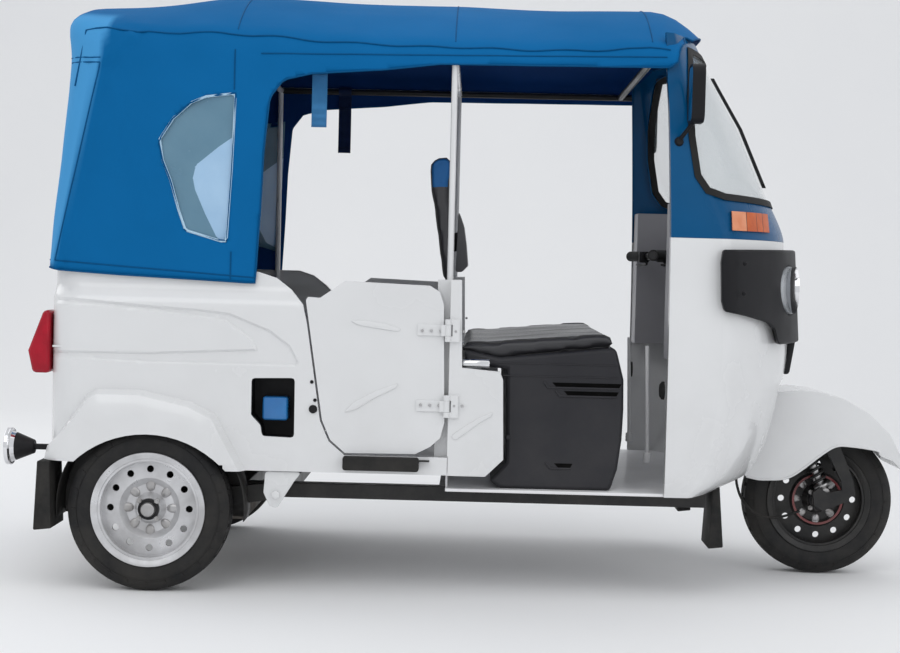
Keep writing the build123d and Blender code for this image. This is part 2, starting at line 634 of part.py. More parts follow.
for name, sign in SIDES:
    with BuildPart() as side_panel:
        with BuildSketch(side_plane(sign, BODY_HALF_W)):
            with BuildLine():
                Polyline(*PANEL_EDGE, close=True)
            make_face()
        extrude(amount=sign * WALL)
        # inner return of the post
        with BuildSketch(Plane.XY.offset(REAR_FLOOR_Z)):
            with BuildLine():
                Polyline(*[(x, sign * y) for x, y in POST_PLAN], close=True)
            make_face()
        extrude(amount=POST_TOP_Z - REAR_FLOOR_Z)
        for z in HINGE_Z:
            with BuildSketch(side_plane(sign, BODY_HALF_W)):
                with Locations(((HINGE_X + PANEL_LEAF_X) / 2 + 4, z)):
                    Rectangle(PANEL_LEAF_X - HINGE_X - 8, HINGE_H)
            extrude(amount=-sign * LEAF_T)
            with BuildSketch(Plane.XY.offset(z - HINGE_H / 2)):
                with Locations((HINGE_X, sign * HINGE_OUT)):
                    Circle(HINGE_R)
                with Locations((HINGE_X, sign * BODY_HALF_W)):
                    Rectangle(PANEL_LEAF_X - HINGE_X, HINGE_OUT - BODY_HALF_W,
                              align=(Align.MIN, Align.MIN if sign > 0 else Align.MAX))
            extrude(amount=HINGE_H)
            with BuildSketch(Plane.XY.offset(z - KNUCKLE_H / 2 - 0.5)):
                with Locations((HINGE_X, sign * HINGE_OUT)):
                    Circle(HINGE_R + 4)
                    Circle(HINGE_PIN_R, mode=Mode.SUBTRACT)
            extrude(amount=KNUCKLE_H + 1, mode=Mode.SUBTRACT)
    side_panel.part.label = f"side_panel_{name}"
    export_step(side_panel.part, f"parts/side_panel_{name}.step")

    with BuildPart() as door:
        with BuildSketch(side_plane(sign, BODY_HALF_W)):
            with BuildLine():
                Polyline(*DOOR_EDGE, close=True)
            make_face()
        extrude(amount=sign * DOOR_T)
        for z in HINGE_Z:
            with BuildSketch(side_plane(sign, BODY_HALF_W)):
                with Locations(((HINGE_X + DOOR_LEAF_X) / 2, z)):
                    Rectangle(HINGE_X - DOOR_LEAF_X, KNUCKLE_H)
            extrude(amount=-sign * LEAF_T)
            with BuildSketch(Plane.XY.offset(z - KNUCKLE_H / 2)):
                with Locations((HINGE_X, sign * HINGE_OUT)):
                    Circle(HINGE_R)
                with Locations((HINGE_X, sign * BODY_HALF_W)):
                    Rectangle(20, HINGE_OUT - BODY_HALF_W + 4,
                              align=(Align.MAX, Align.MIN if sign > 0 else Align.MAX))
                with Locations((HINGE_X, sign * HINGE_OUT)):
                    Circle(HINGE_PIN_R + RUNNING_GAP, mode=Mode.SUBTRACT)
            extrude(amount=KNUCKLE_H)
    door.part.label = f"door_{name}"
    export_step(door.part, f"parts/door_{name}.step")

with BuildPart() as steps:
    for _, sign in SIDES:
        with BuildSketch(side_plane(sign, BODY_HALF_W)):
            with Locations((-251, 384)):
                RectangleRounded(218, 40, 8)
        extrude(amount=-sign * 26)
steps.part.label = "steps"
export_step(steps.part, "parts/steps.step")

# ---------------------------------------------------------------- canopy frame
POLE_R = 9.0
BOW_R = 11.0
POLE_X = -66.0
RAIL_IN_Y = BODY_HALF_W - 62
ROOF_RAIL_Z = 1556.0
REAR_POLE_X = -694.0
RAIL_FRONT_X = 541.5
with BuildPart() as canopy_frame:
    for _, sign in SIDES:
        with BuildSketch(Plane.YZ.offset(REAR_POLE_X - BOW_R)):
            with Locations((sign * RAIL_IN_Y, ROOF_RAIL_Z)):
                Circle(BOW_R)
        extrude(amount=RAIL_FRONT_X - REAR_POLE_X + BOW_R)
        with BuildSketch(Plane.XY.offset(POST_TOP_Z)):
            with Locations((POLE_X, sign * RAIL_IN_Y)):
                Circle(POLE_R)
        extrude(amount=ROOF_RAIL_Z - POST_TOP_Z)
        with BuildSketch(Plane.XY.offset(DECK_Z)):
            with Locations((REAR_POLE_X, sign * RAIL_IN_Y)):
                Circle(POLE_R)
        extrude(amount=ROOF_RAIL_Z - DECK_Z)
    with BuildSketch(Plane.XZ):
        with Locations(*[(x, ROOF_RAIL_Z) for x in (REAR_POLE_X, POLE_X, 500)]):
            Circle(BOW_R)
    extrude(amount=RAIL_IN_Y, both=True)
canopy_frame.part.label = "canopy_frame"
export_step(canopy_frame.part, "parts/canopy_frame.step")

# ---------------------------------------------------------------- driver's bench
BENCH_HALF_W = BODY_HALF_W - 50
BENCH_EDGE = [(-21, 713), (83, 692), (416, 728), (423, 709), (442, 637), (444, 551), (441, 463), (430, 376),
              (410, FLOOR_Z), (93, FLOOR_Z), (60, 335), (108, 390), (104, 660), (-15, 672)]
CUSHION_EDGE = [(-21, 713.3), (83, 692.3), (401, 726.7), (405, 768), (378, 785), (257, 776), (82, 757),
                (-22, 755)]
with BuildPart() as seat_base:
    with BuildSketch(Plane.XZ):
        with BuildLine():
            Polyline(*BENCH_EDGE, close=True)
        make_face()
    extrude(amount=BENCH_HALF_W, both=True)
seat_base.part.label = "seat_base"
export_step(seat_base.part, "parts/seat_base.step")

with BuildPart() as driver_cushion:
    with BuildSketch(Plane.XZ):
        with BuildLine():
            Polyline(*CUSHION_EDGE, close=True)
        make_face()
    extrude(amount=BENCH_HALF_W - 50, both=True)
driver_cushion.part.label = "driver_cushion"
export_step(driver_cushion.part, "parts/driver_cushion.step")

BACKREST_HALF_W = 250.0
BACKREST_EDGE = [(-133, 1263), (-105, 1279), (-77, 1280), (-81, 1188), (-72, 909.3), (-90, 909.3), (-120, 1141),
                 (-128, 1187)]
with BuildPart() as driver_backrest:
    with BuildSketch(Plane.XZ):
        with BuildLine():
            Polyline(*BACKREST_EDGE, close=True)
        make_face()
    extrude(amount=BACKREST_HALF_W, both=True)
driver_backrest.part.label = "driver_backrest"
export_step(driver_backrest.part, "parts/driver_backrest.step")

PARTITION_X = -82.0
PARTITION_Z = 896.0
PARTITION_R = 13.0
with BuildPart() as partition_frame:
    with BuildSketch(Plane.XZ):
        with Locations((PARTITION_X, PARTITION_Z)):
            Circle(PARTITION_R)
    extrude(amount=POST_Y[0], both=True)
    for y in (-200, 200):
        with BuildSketch(Plane.XY.offset(REAR_FLOOR_Z)):
            with Locations((PARTITION_X, y)):
                Circle(12)
        extrude(amount=PARTITION_Z - REAR_FLOOR_Z)
partition_frame.part.label = "partition_frame"
export_step(partition_frame.part, "parts/partition_frame.step")

# ---------------------------------------------------------------- passengers' bench
PASSENGER_HALF_W = BODY_HALF_W - 120
with BuildPart() as passenger_seat_base:
    with BuildSketch(Plane.XZ):
        with BuildLine():
            Polyline((DECK_FRONT_X, DECK_Z), (-640, DECK_Z), (-590, 640), (-600, REAR_FLOOR_Z),
                     (-620, REAR_FLOOR_Z),
                     (-630, 620), (DECK_FRONT_X, 670), close=True)
        make_face()
    extrude(amount=PASSENGER_HALF_W, both=True)
passenger_seat_base.part.label = "passenger_seat_base"
export_step(passenger_seat_base.part, "parts/passenger_seat_base.step")

REAR_SEAT_HALF_W = BODY_HALF_W - 90
with BuildPart() as passenger_cushion:
    with BuildSketch(Plane.XZ):
        with BuildLine():
            Polyline((-1060, DECK_Z + SEAT_GAP), (-1060, 820), (-610, 812), (-590, 790),
                     (-600, DECK_Z + SEAT_GAP), close=True)
        make_face()
    extrude(amount=REAR_SEAT_HALF_W, both=True)
passenger_cushion.part.label = "passenger_cushion"
export_step(passenger_cushion.part, "parts/passenger_cushion.step")

with BuildPart() as passenger_backrest:
    with BuildSketch(Plane.XZ):
        with BuildLine():
            Polyline((-1062, 820.3), (-1010, 819.5), (-1075, 1220), (-1100, 1240), (-1125, 1220), close=True)
        make_face()
    extrude(amount=REAR_SEAT_HALF_W - 5, both=True)
passenger_backrest.part.label = "passenger_backrest"
export_step(passenger_backrest.part, "parts/passenger_backrest.step")

STRAP_L = 200.0
with BuildPart() as hand_straps:
    for _, sign in SIDES:
        with BuildSketch(side_plane(sign, RAIL_IN_Y - 4)):
            with Locations((-455, ROOF_RAIL_Z - BOW_R - SEAT_GAP - STRAP_L / 2)):
                RectangleRounded(38, STRAP_L, 14)
                RectangleRounded(12, STRAP_L - 40, 5, mode=Mode.SUBTRACT)
        extrude(amount=-sign * 8)
hand_straps.part.label = "hand_straps"
export_step(hand_straps.part, "parts/hand_straps.step")

# ---------------------------------------------------------------- mirrors, wiper, small front pieces
MIRROR_OUT = BODY_HALF_W + 25
MIRROR_W = 110.0
MIRROR_H = 165.0
MIRROR_FOOT_Z = 1322.0
MIRROR_FOOT_Y = half_width_at(MIRROR_FOOT_Z) - 2 * FRONT_WALL / 3
MIRROR_Z = 1455.0
MIRROR_X = 600.0
MIRROR_ARM_R = 6.0
GLASS_INSET = 7.0
with BuildPart() as mirrors:
    for _, sign in SIDES:
        with BuildSketch(Plane.YZ.offset(MIRROR_X)):
            with Locations((sign * MIRROR_OUT, MIRROR_Z)):
                RectangleRounded(MIRROR_W, MIRROR_H, 30)
        extrude(amount=36)
        with BuildSketch(Plane.YZ.offset(MIRROR_X - 2)):
            with Locations((sign * MIRROR_OUT, MIRROR_Z)):
                RectangleRounded(MIRROR_W - 2 * GLASS_INSET, MIRROR_H - 2 * GLASS_INSET, 24)
        extrude(amount=6, mode=Mode.SUBTRACT)
        foot = Vector(575, sign * MIRROR_FOOT_Y, MIRROR_FOOT_Z)
        head = Vector(MIRROR_X + 18, sign * MIRROR_OUT, MIRROR_Z - MIRROR_H / 2 + 12)
        with BuildSketch(Plane(origin=foot, z_dir=head - foot)):
            Circle(MIRROR_ARM_R)
        extrude(amount=(head - foot).length)
    add(front_form(FRAME_ROWS, -SEAT_GAP, PAST), mode=Mode.SUBTRACT)
mirrors.part.label = "mirrors"
export_step(mirrors.part, "parts/mirrors.step")

with BuildPart() as mirror_glasses:
    for _, sign in SIDES:
        with BuildSketch(Plane.YZ.offset(MIRROR_X + 1)):
            with Locations((sign * MIRROR_OUT, MIRROR_Z)):
                around = 2 * (GLASS_INSET + SEAT_GAP)
                RectangleRounded(MIRROR_W - around, MIRROR_H - around, 24 - SEAT_GAP)
        extrude(amount=3)
mirror_glasses.part.label = "mirror_glasses"
export_step(mirror_glasses.part, "parts/mirror_glasses.step")

# ---------------------------------------------------------------- rear lamps, flaps
with BuildPart() as tail_lamps:
    for _, sign in SIDES:
        with BuildSketch(side_plane(sign, BODY_HALF_W - 40)):
            with BuildLine():
                Polyline((TUB_REAR_X - SEAT_GAP, 617), (-1270, 617), (-1284, 681), (-1240, 799),
                         (TUB_REAR_X - SEAT_GAP, 799), close=True)
            make_face()
        extrude(amount=sign * 90)
tail_lamps.part.label = "tail_lamps"
export_step(tail_lamps.part, "parts/tail_lamps.step")

REAR_LAMP_X = -1353.0
REAR_LAMP_Y = BODY_HALF_W - 100
REAR_LAMP_Z = 396.0
with BuildPart() as rear_lamps:
    for _, sign in SIDES:
        with BuildSketch(wheel_plane(0, 0).offset(REAR_LAMP_X)):
            with Locations((sign * REAR_LAMP_Y, REAR_LAMP_Z)):
                Circle(54)
        extrude(amount=14)
        with BuildSketch(wheel_plane(0, 0).offset(REAR_LAMP_X + 14)):
            with Locations((sign * REAR_LAMP_Y, REAR_LAMP_Z)):
                Circle(46)
        extrude(amount=66, taper=22)
        with BuildSketch(wheel_plane(0, 0).offset(REAR_LAMP_X + 73)):
            with Locations((sign * REAR_LAMP_Y, REAR_LAMP_Z)):
                Rectangle(16, 16)
        extrude(amount=TUB_REAR_X - REAR_LAMP_X - 73 - SEAT_GAP)
rear_lamps.part.label = "rear_lamps"
export_step(rear_lamps.part, "parts/rear_lamps.step")

with BuildPart() as mudflaps:
    for _, sign in SIDES:
        with BuildSketch(side_plane(sign, BODY_HALF_W + 40)):
            with BuildLine():
                Polyline((-1231, 371.5), (-1196, 371.5), (-1188, 178), (-1240, 172), close=True)
            make_face()
        extrude(amount=sign * 150)
    with BuildSketch(Plane.XZ):
        with BuildLine():
            Polyline((718, RAIL_TOP_Z), (734, RAIL_TOP_Z), (742, 141), (706, 136), close=True)
        make_face()
    extrude(amount=150, both=True)
mudflaps.part.label = "mudflaps"
export_step(mudflaps.part, "parts/mudflaps.step")

# ---------------------------------------------------------------- service recess
TRAY_DEPTH = 90.0
with BuildPart() as service_tray:
    with BuildSketch(side_plane(-1, BODY_HALF_W - WALL - SEAT_GAP)):
        with BuildLine():
            Polyline(*RECESS_EDGE, close=True)
        make_face()
        offset(amount=10, kind=Kind.INTERSECTION)
    extrude(amount=-TRAY_DEPTH)
    with BuildSketch(side_plane(-1, BODY_HALF_W - WALL - SEAT_GAP)):
        with BuildLine():
            Polyline(*RECESS_EDGE, close=True)
        make_face()
        offset(amount=4, kind=Kind.INTERSECTION)
    extrude(amount=-TRAY_DEPTH + 6, mode=Mode.SUBTRACT)
service_tray.part.label = "service_tray"
export_step(service_tray.part, "parts/service_tray.step")

with BuildPart() as fluid_unit:
    with BuildSketch(side_plane(-1, BODY_HALF_W - WALL - TRAY_DEPTH + 6 - SEAT_GAP)):
        with Locations((-563, 530)):
            RectangleRounded(74, 68, 8)
    extrude(amount=54)
fluid_unit.part.label = "fluid_unit"
export_step(fluid_unit.part, "parts/fluid_unit.step")

# ---------------------------------------------------------------- engine, arms, axles
with BuildPart() as engine_block:
    with BuildSketch(Plane.XY.offset(150)):
        with Locations(((ENGINE_X[0] + ENGINE_X[1]) / 2, 0)):
            Rectangle(ENGINE_X[1] - ENGINE_X[0], 400)
    extrude(amount=420)
engine_block.part.label = "engine_block"
export_step(engine_block.part, "parts/engine_block.step")

ARM_Y = RAIL_Y + RAIL_W / 2
ARM_T = 30.0
PIVOT = (-552.0, 285.0)
with BuildPart() as trailing_arms:
    for _, sign in SIDES:
        with BuildSketch(side_plane(sign, ARM_Y)):
            with BuildLine():
                Polyline((-566, 345), (-580, 285), (-559, 256), (-499, 332), (-480, 345), close=True)
            make_face()
            with BuildLine():
                Polyline((PIVOT[0], PIVOT[1] - 24), (PIVOT[0], PIVOT[1] + 24), (REAR_AXLE_X, AXLE_Z + 34),
                         (REAR_AXLE_X, AXLE_Z - 34), close=True)
            make_face()
            with Locations((REAR_AXLE_X, AXLE_Z)):
                Circle(34)
        extrude(amount=-sign * ARM_T)
        with BuildSketch(side_plane(sign, ARM_Y)):
            with Locations((REAR_AXLE_X, AXLE_Z)):
                Circle(AXLE_R)
        extrude(amount=-sign * (REAR_TRACK_HALF - ARM_Y + HUB_W / 2 + 6))
trailing_arms.part.label = "trailing_arms"
export_step(trailing_arms.part, "parts/trailing_arms.step")

with BuildPart() as engine_lid:
    with BuildSketch(Plane.YZ.offset(TUB_REAR_X)):
        with Locations((0, (LID_Z[0] + LID_Z[1]) / 2)):
            RectangleRounded(2 * (LID_HALF_W - PANEL_GAP), LID_Z[1] - LID_Z[0] - 2 * PANEL_GAP, 18)
    extrude(amount=10)
    for y in LID_HINGE_Y:
        with BuildSketch(Plane.XZ.offset(-y)):
            with Locations((LID_HINGE_X, LID_HINGE_Z)):
                Circle(6)
            with Locations((LID_HINGE_X, LID_HINGE_Z)):
                Rectangle(TUB_REAR_X - LID_HINGE_X + 1, 16, align=(Align.MIN, Align.MAX))
            with Locations((LID_HINGE_X, LID_HINGE_Z)):
                Circle(3.5 + RUNNING_GAP, mode=Mode.SUBTRACT)
        extrude(amount=LID_KNUCKLE_W / 2 - 0.5, both=True)
engine_lid.part.label = "engine_lid"
export_step(engine_lid.part, "parts/engine_lid.step")

# ---------------------------------------------------------------- wheels
# name, axle x, centre y, sign of the outer side, bore radius
WHEELS = (
    ("rear_right", REAR_AXLE_X, -REAR_TRACK_HALF, -1, AXLE_R),
    ("rear_left", REAR_AXLE_X, REAR_TRACK_HALF, 1, AXLE_R),
    ("front", FRONT_AXLE_X, 0.0, -1, AXLE_R),
)
for name, x, y, out, bore_r in WHEELS:
    half = TYRE_W / 2
    with BuildPart() as tyre:
        with BuildSketch(wheel_plane(x, AXLE_Z)):
            with BuildLine():
                bead = RIM_WELL_R + SEAT_GAP
                middle = (bead + WHEEL_R) / 2
                foot, shoulder, shoulder_r = half - TYRE_BEAD_IN, half - TYRE_SHOULDER, WHEEL_R - TYRE_SHOULDER
                Polyline((y - foot, bead), (y + foot, bead))
                ThreePointArc((y + foot, bead), (y + half, middle), (y + shoulder, shoulder_r))
                ThreePointArc((y + shoulder, shoulder_r), (y, WHEEL_R), (y - shoulder, shoulder_r))
                ThreePointArc((y - shoulder, shoulder_r), (y - half, middle), (y - foot, bead))
            make_face()
        revolve(axis=Axis((x, 0, AXLE_Z), (0, 1, 0)))
    tyre.part.label = f"tyre_{name}"
    export_step(tyre.part, f"parts/tyre_{name}.step")

    with BuildPart() as rim:
        with BuildSketch(wheel_plane(x, AXLE_Z)):
            with BuildLine():
                Polyline(
                    (y - out * (half - 10), RIM_WELL_R), (y + out * (half - 10), RIM_WELL_R),
                    (y + out * (half - 10), RIM_WELL_R - RIM_T), (y + out * 18, RIM_WELL_R - RIM_T),
                    (y + out * 24, 88), (y + out * 10, 70), (y + out * 10, HUB_R),
                    (y + out * HUB_W / 2, HUB_R - 12), (y + out * HUB_W / 2, bore_r + RUNNING_GAP),
                    (y - out * HUB_W / 2, bore_r + RUNNING_GAP),
                    (y - out * HUB_W / 2, HUB_R), (y + out * 2, HUB_R), (y + out * 2, 72),
                    (y + out * 16, 90), (y + out * 10, RIM_WELL_R - RIM_T),
                    (y - out * (half - 10), RIM_WELL_R - RIM_T), close=True)
            make_face()
        revolve(axis=Axis((x, 0, AXLE_Z), (0, 1, 0)))
        with BuildSketch(Plane.XZ.offset(-y)):
            with Locations((x, AXLE_Z)):
                with PolarLocations(RIM_HOLE_RING_R, RIM_HOLES):
                    Circle(RIM_HOLE_R)
        extrude(amount=60, both=True, mode=Mode.SUBTRACT)
    rim.part.label = f"rim_{name}"
    export_step(rim.part, f"parts/rim_{name}.step")

# ---------------------------------------------------------------- steering
CROWN_Z = 520.0
CLAMP_Z = 1000.0
BAR_R = 12.0
FORK_Y = 100.0         # inner faces of the fork arms
FORK_T = 16.0
FORK_ARM = [(875, 500), (905, 545), (1010, 520), (1110, 480), (1168, 410), (1210, 310), (1218, 262), (1180, 252),
            (1172, 305), (1130, 390), (1070, 450), (990, 480), (930, 486)]
LINK = [(1197, 283), (1195, 243), (1116, 210), (1090, 226), (1084, 268), (1104, 284), (1130, 268)]
with BuildPart() as steering_stem:
    with BuildSketch(steer_plane(CROWN_Z)):
        Circle(STEM_R)
    extrude(amount=steer_length(CROWN_Z, CLAMP_Z) - BAR_R - SEAT_GAP)
    with BuildSketch(side_plane(-1, 0)):
        with BuildLine():
            Polyline((865, 500), (905, 545), (930, 545), (930, 490), close=True)
        make_face()
    extrude(amount=FORK_Y + FORK_T, both=True)
    for _, sign in SIDES:
        with BuildSketch(side_plane(sign, FORK_Y)):
            with BuildLine():
                Polyline(*FORK_ARM, close=True)
            make_face()
            with BuildLine():
                Polyline(*LINK, close=True)
            make_face()
        extrude(amount=-sign * FORK_T)
    with BuildSketch(side_plane(-1, FORK_Y + 1)):
        with Locations((FRONT_AXLE_X, AXLE_Z)):
            Circle(AXLE_R)
    extrude(amount=-2 * FORK_Y - 2)
steering_stem.part.label = "steering_stem"
export_step(steering_stem.part, "parts/steering_stem.step")

BAR_Z = CLAMP_Z
BAR_X = STEER_POINT[0]
with BuildPart() as handlebar:
    with BuildLine():
        FilletPolyline((535, -370, BAR_Z), (BAR_X, -150, BAR_Z), (BAR_X, 150, BAR_Z), (535, 370, BAR_Z),
                       radius=60)
    with BuildSketch(Plane(origin=(535, -370, BAR_Z), z_dir=(BAR_X - 535, 220, 0))):
        Circle(BAR_R)
    sweep()
handlebar.part.label = "handlebar"
export_step(handlebar.part, "parts/handlebar.step")

FENDER_HALF_W = 130.0
FENDER_T = 5.0
FENDER_TOP = [(869, 316), (836, 420), (830, 520), (852, 566), (905, 579), (976, 584), (1036, 590),
              (1100, 585), (1175, 565), (1250, 523),
              (1316, 460), (1350, 397), (1355, 348)]
FENDER_LOW = [(1325, 378), (1290, 393), (1277, 408), (1195, 419), (1148, 417), (1102, 388), (1041, 339),
              (995, 313), (932, 308)]
with BuildPart() as front_fender:
    with BuildSketch(Plane.XZ):
        with BuildLine():
            Polyline(*FENDER_TOP, *FENDER_LOW, close=True)
        make_face()
    extrude(amount=FENDER_HALF_W, both=True)
    with BuildSketch(Plane.XZ):
        with BuildLine():
            Polyline(*FENDER_TOP, (1355, 200), (869, 200), close=True)
        make_face()
        offset(amount=-FENDER_T, kind=Kind.INTERSECTION)
    extrude(amount=FENDER_HALF_W - FENDER_T, both=True, mode=Mode.SUBTRACT)
    with BuildSketch(steer_plane(CROWN_Z)):
        Circle(STEM_R + SEAT_GAP)
    extrude(amount=150, mode=Mode.SUBTRACT)
front_fender.part.label = "front_fender"
export_step(front_fender.part, "parts/front_fender.step")

GRIP_L = 120.0
GRIP_R = 17.0
with BuildPart() as hand_grips:
    for _, sign in SIDES:
        with BuildSketch(Plane(origin=(535, sign * 370, BAR_Z), z_dir=(BAR_X - 535, -sign * 220, 0))):
            Circle(GRIP_R)
            Circle(BAR_R + SEAT_GAP / 3, mode=Mode.SUBTRACT)
        extrude(amount=GRIP_L)
hand_grips.part.label = "hand_grips"
export_step(hand_grips.part, "parts/hand_grips.step")

# Coil spring and damper beside the front wheel, from the fork arm to the link
SPRING_TOP = (1112.0, 432.0)
SPRING_FOOT = (1092.0, 268.0)
SPRING_Y = 81.5
SPRING_R = 17.0
COILS = 7
with BuildPart() as spring_unit:
    length = math.dist(SPRING_TOP, SPRING_FOOT)
    lean = Plane(origin=(SPRING_FOOT[0], -SPRING_Y, SPRING_FOOT[1]), x_dir=(0, 1, 0),
                 z_dir=(SPRING_TOP[0] - SPRING_FOOT[0], 0, SPRING_TOP[1] - SPRING_FOOT[1]))
    with BuildSketch(lean):
        Circle(SPRING_R - 6)
    extrude(amount=length)
    pitch = (length - 40) / COILS
    for i in range(COILS):
        with BuildSketch(lean.offset(20 + i * pitch)):
            Circle(SPRING_R)
        extrude(amount=pitch * 0.5)
    for x, z in (SPRING_TOP, SPRING_FOOT):
        with BuildSketch(side_plane(-1, FORK_Y)):
            with Locations((x, z)):
                Circle(13)
        extrude(amount=-(FORK_Y - SPRING_Y + 12))
spring_unit.part.label = "spring_unit"
export_step(spring_unit.part, "parts/spring_unit.step")

# ---------------------------------------------------------------- wiper, instruments, pedal
with BuildPart() as wiper:
    with BuildSketch(Plane.YZ.offset(600)):
        with Locations((-130, 1390)):
            Rectangle(16, 330)
        with Locations((-130, 1235)):
            Circle(16)
    extrude(amount=400)
    add(front_form(FRAME_ROWS, -8), mode=Mode.INTERSECT)
    add(front_form(past_ends(FRAME_ROWS), SEAL_PROUD - SEAT_GAP, PAST), mode=Mode.SUBTRACT)
wiper.part.label = "wiper"
export_step(wiper.part, "parts/wiper.step")

with BuildPart() as instrument_pod:
    with BuildSketch(Plane.XZ):
        with BuildLine():
            Polyline((DASH_FACE_X, 1062), (720, 1066), (700, 1130), (DASH_FACE_X, 1148), close=True)
        make_face()
    extrude(amount=120, both=True)
instrument_pod.part.label = "instrument_pod"
export_step(instrument_pod.part, "parts/instrument_pod.step")

with BuildPart() as pedal:
    with BuildSketch(side_plane(-1, 150)):
        with BuildLine():
            Polyline((FLOOR_FRONT_X, 520), (FLOOR_FRONT_X, 494), (660, 360), (636, 384), (650, 396), close=True)
        make_face()
    extrude(amount=-60)
pedal.part.label = "pedal"
export_step(pedal.part, "parts/pedal.step")
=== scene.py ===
"""Finish of a three-wheeled auto rickshaw, built round its packed frame.

Sizes are in metres: +X forwards, +Y to the vehicle's left, +Z up, with the ground at Z = 0.
Tables of sizes are written in millimetres and turned into metres by metres().
"""

import math
from bisect import bisect_right

import bmesh
import bpy
from bpy.props import FloatProperty, FloatVectorProperty, IntProperty, PointerProperty
from mathutils import Matrix, Vector, noise
from mathutils.bvhtree import BVHTree
from mathutils.geometry import intersect_point_line


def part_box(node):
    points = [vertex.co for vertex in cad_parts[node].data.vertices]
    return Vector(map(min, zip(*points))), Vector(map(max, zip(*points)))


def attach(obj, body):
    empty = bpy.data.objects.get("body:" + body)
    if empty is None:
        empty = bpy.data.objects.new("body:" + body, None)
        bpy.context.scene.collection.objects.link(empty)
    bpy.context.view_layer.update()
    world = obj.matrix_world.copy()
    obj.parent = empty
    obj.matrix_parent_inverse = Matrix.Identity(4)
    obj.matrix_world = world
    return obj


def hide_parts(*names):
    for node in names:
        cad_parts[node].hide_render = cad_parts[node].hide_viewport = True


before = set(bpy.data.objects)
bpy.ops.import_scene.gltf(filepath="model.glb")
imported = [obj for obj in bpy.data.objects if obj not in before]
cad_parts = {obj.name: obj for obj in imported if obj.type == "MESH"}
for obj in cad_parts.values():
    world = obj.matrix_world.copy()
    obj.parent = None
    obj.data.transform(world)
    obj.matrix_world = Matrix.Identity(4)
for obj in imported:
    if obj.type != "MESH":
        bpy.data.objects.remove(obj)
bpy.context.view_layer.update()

bl_info = {
    "name": "Auto Rickshaw Finish",
    "version": (1, 0, 0),
    "blender": (4, 5, 0),
    "location": "View3D > Sidebar > Rickshaw",
    "description": "Builds the panels, soft top, seats, wheels and trim of an auto rickshaw",
    "category": "Object",
}

SIDES = (("right", -1), ("left", 1))  # (name, sign of Y)
BOTH = (-1, 1)
MM = 0.001


def metres(rows):
    """The same table with every number turned from millimetres into metres."""
    return [tuple(value * MM for value in row) for row in rows]


# ---- shape tables
# Front form: z, rear x, rear half width, side half width, corner radius, nose radius, nose x
FRONT_ROWS = metres((
    (305, 563, 590, 588, 120, 1300, 806),
    (345, 563, 596, 592, 180, 1000, 893),
    (484, 563, 600, 590, 220, 900, 959),
    (740, 563, 600, 580, 220, 900, 999),
    (1050, 561, 598, 568, 220, 900, 978),
    (1172, 558, 590, 562, 190, 950, 929),
    (1400, 550, 572, 560, 110, 1200, 828),
    (1535, 543, 545, 535, 75, 1500, 746),
    (1640, 539, 530, 512, 55, 1600, 686),
))
# Front form: z, x where its side turns in to the nose
FRONT_SIDE_X = metres(((305, 640), (345, 680), (484, 720), (740, 750), (1050, 740), (1172, 690), (1400, 610),
        (1535, 585), (1640, 565)))
COWL_TOP_Z = 1.05
# Soft top: x, shoulder half width, shoulder z, crown z
TOP_ROWS = metres((
    (-1300, 560, 1652, 1716),
    (-1055, 560, 1622, 1743),
    (-697, 560, 1602, 1784),
    (-95, 560, 1580, 1770),
    (545, 560, 1590, 1766),
    (613, 556, 1600, 1742),
    (720, 545, 1600, 1650),
))
# Soft top's back: z, rear x, corner radius
BACK_ROWS = metres((
    (860, -1231, 34),
    (938, -1228, 36),
    (1261, -1200, 60),
    (1519, -1187, 92),
    (1642, -1203, 110),
    (1800, -1210, 112),
))
# Folds from the rear corner of the roof down to the hem: two ends as (x, z), depth
CANVAS_FOLDS = (
    ((-1.085, 1.515), (-1.203, 0.939), 0.0045),
    ((-1.085, 1.515), (-1.0, 1.594), 0.004),
    ((-1.078, 1.615), (-1.0, 1.594), 0.003),
    ((-1.06, 1.48), (-0.93, 1.05), 0.0022),
    ((-0.73, 1.56), (-0.745, 1.43), 0.0018),
)
HEM_HALF_W = 0.575
TOP_HALF_W = 0.56
TOP_BOWS = (-1.185, -0.694, -0.066, 0.5)  # x
TOP_NOSE_X = 0.692
NOSE_FROM_X = 0.3  # where the roof starts to follow the curve of its front edge
HOOD_EDGE = {-1: -0.612, 1: -0.672}  # front edge of the closed rear part, by side
SIDE_OPENING = metres(((-14, 892), (-3, 1102), (3, 1266), (17, 1425), (56, 1476), (139, 1496), (343, 1511),
        (506, 1531)))
WINDOW_EDGE = metres(((-693, 1434), (-779, 1423), (-821, 1405), (-872, 1358), (-911, 1295), (-899, 1238),
        (-875, 1181), (-850, 1096), (-829, 1039), (-711, 1005), (-700, 1214)))
REAR_WINDOW = (0.6, 0.23, 1.29)  # width, height, centre z
SCREEN_EDGE = metres(((612, 1612), (601, 1450), (606, 1340), (626, 1225), (660, 1178), (720, 1162)))

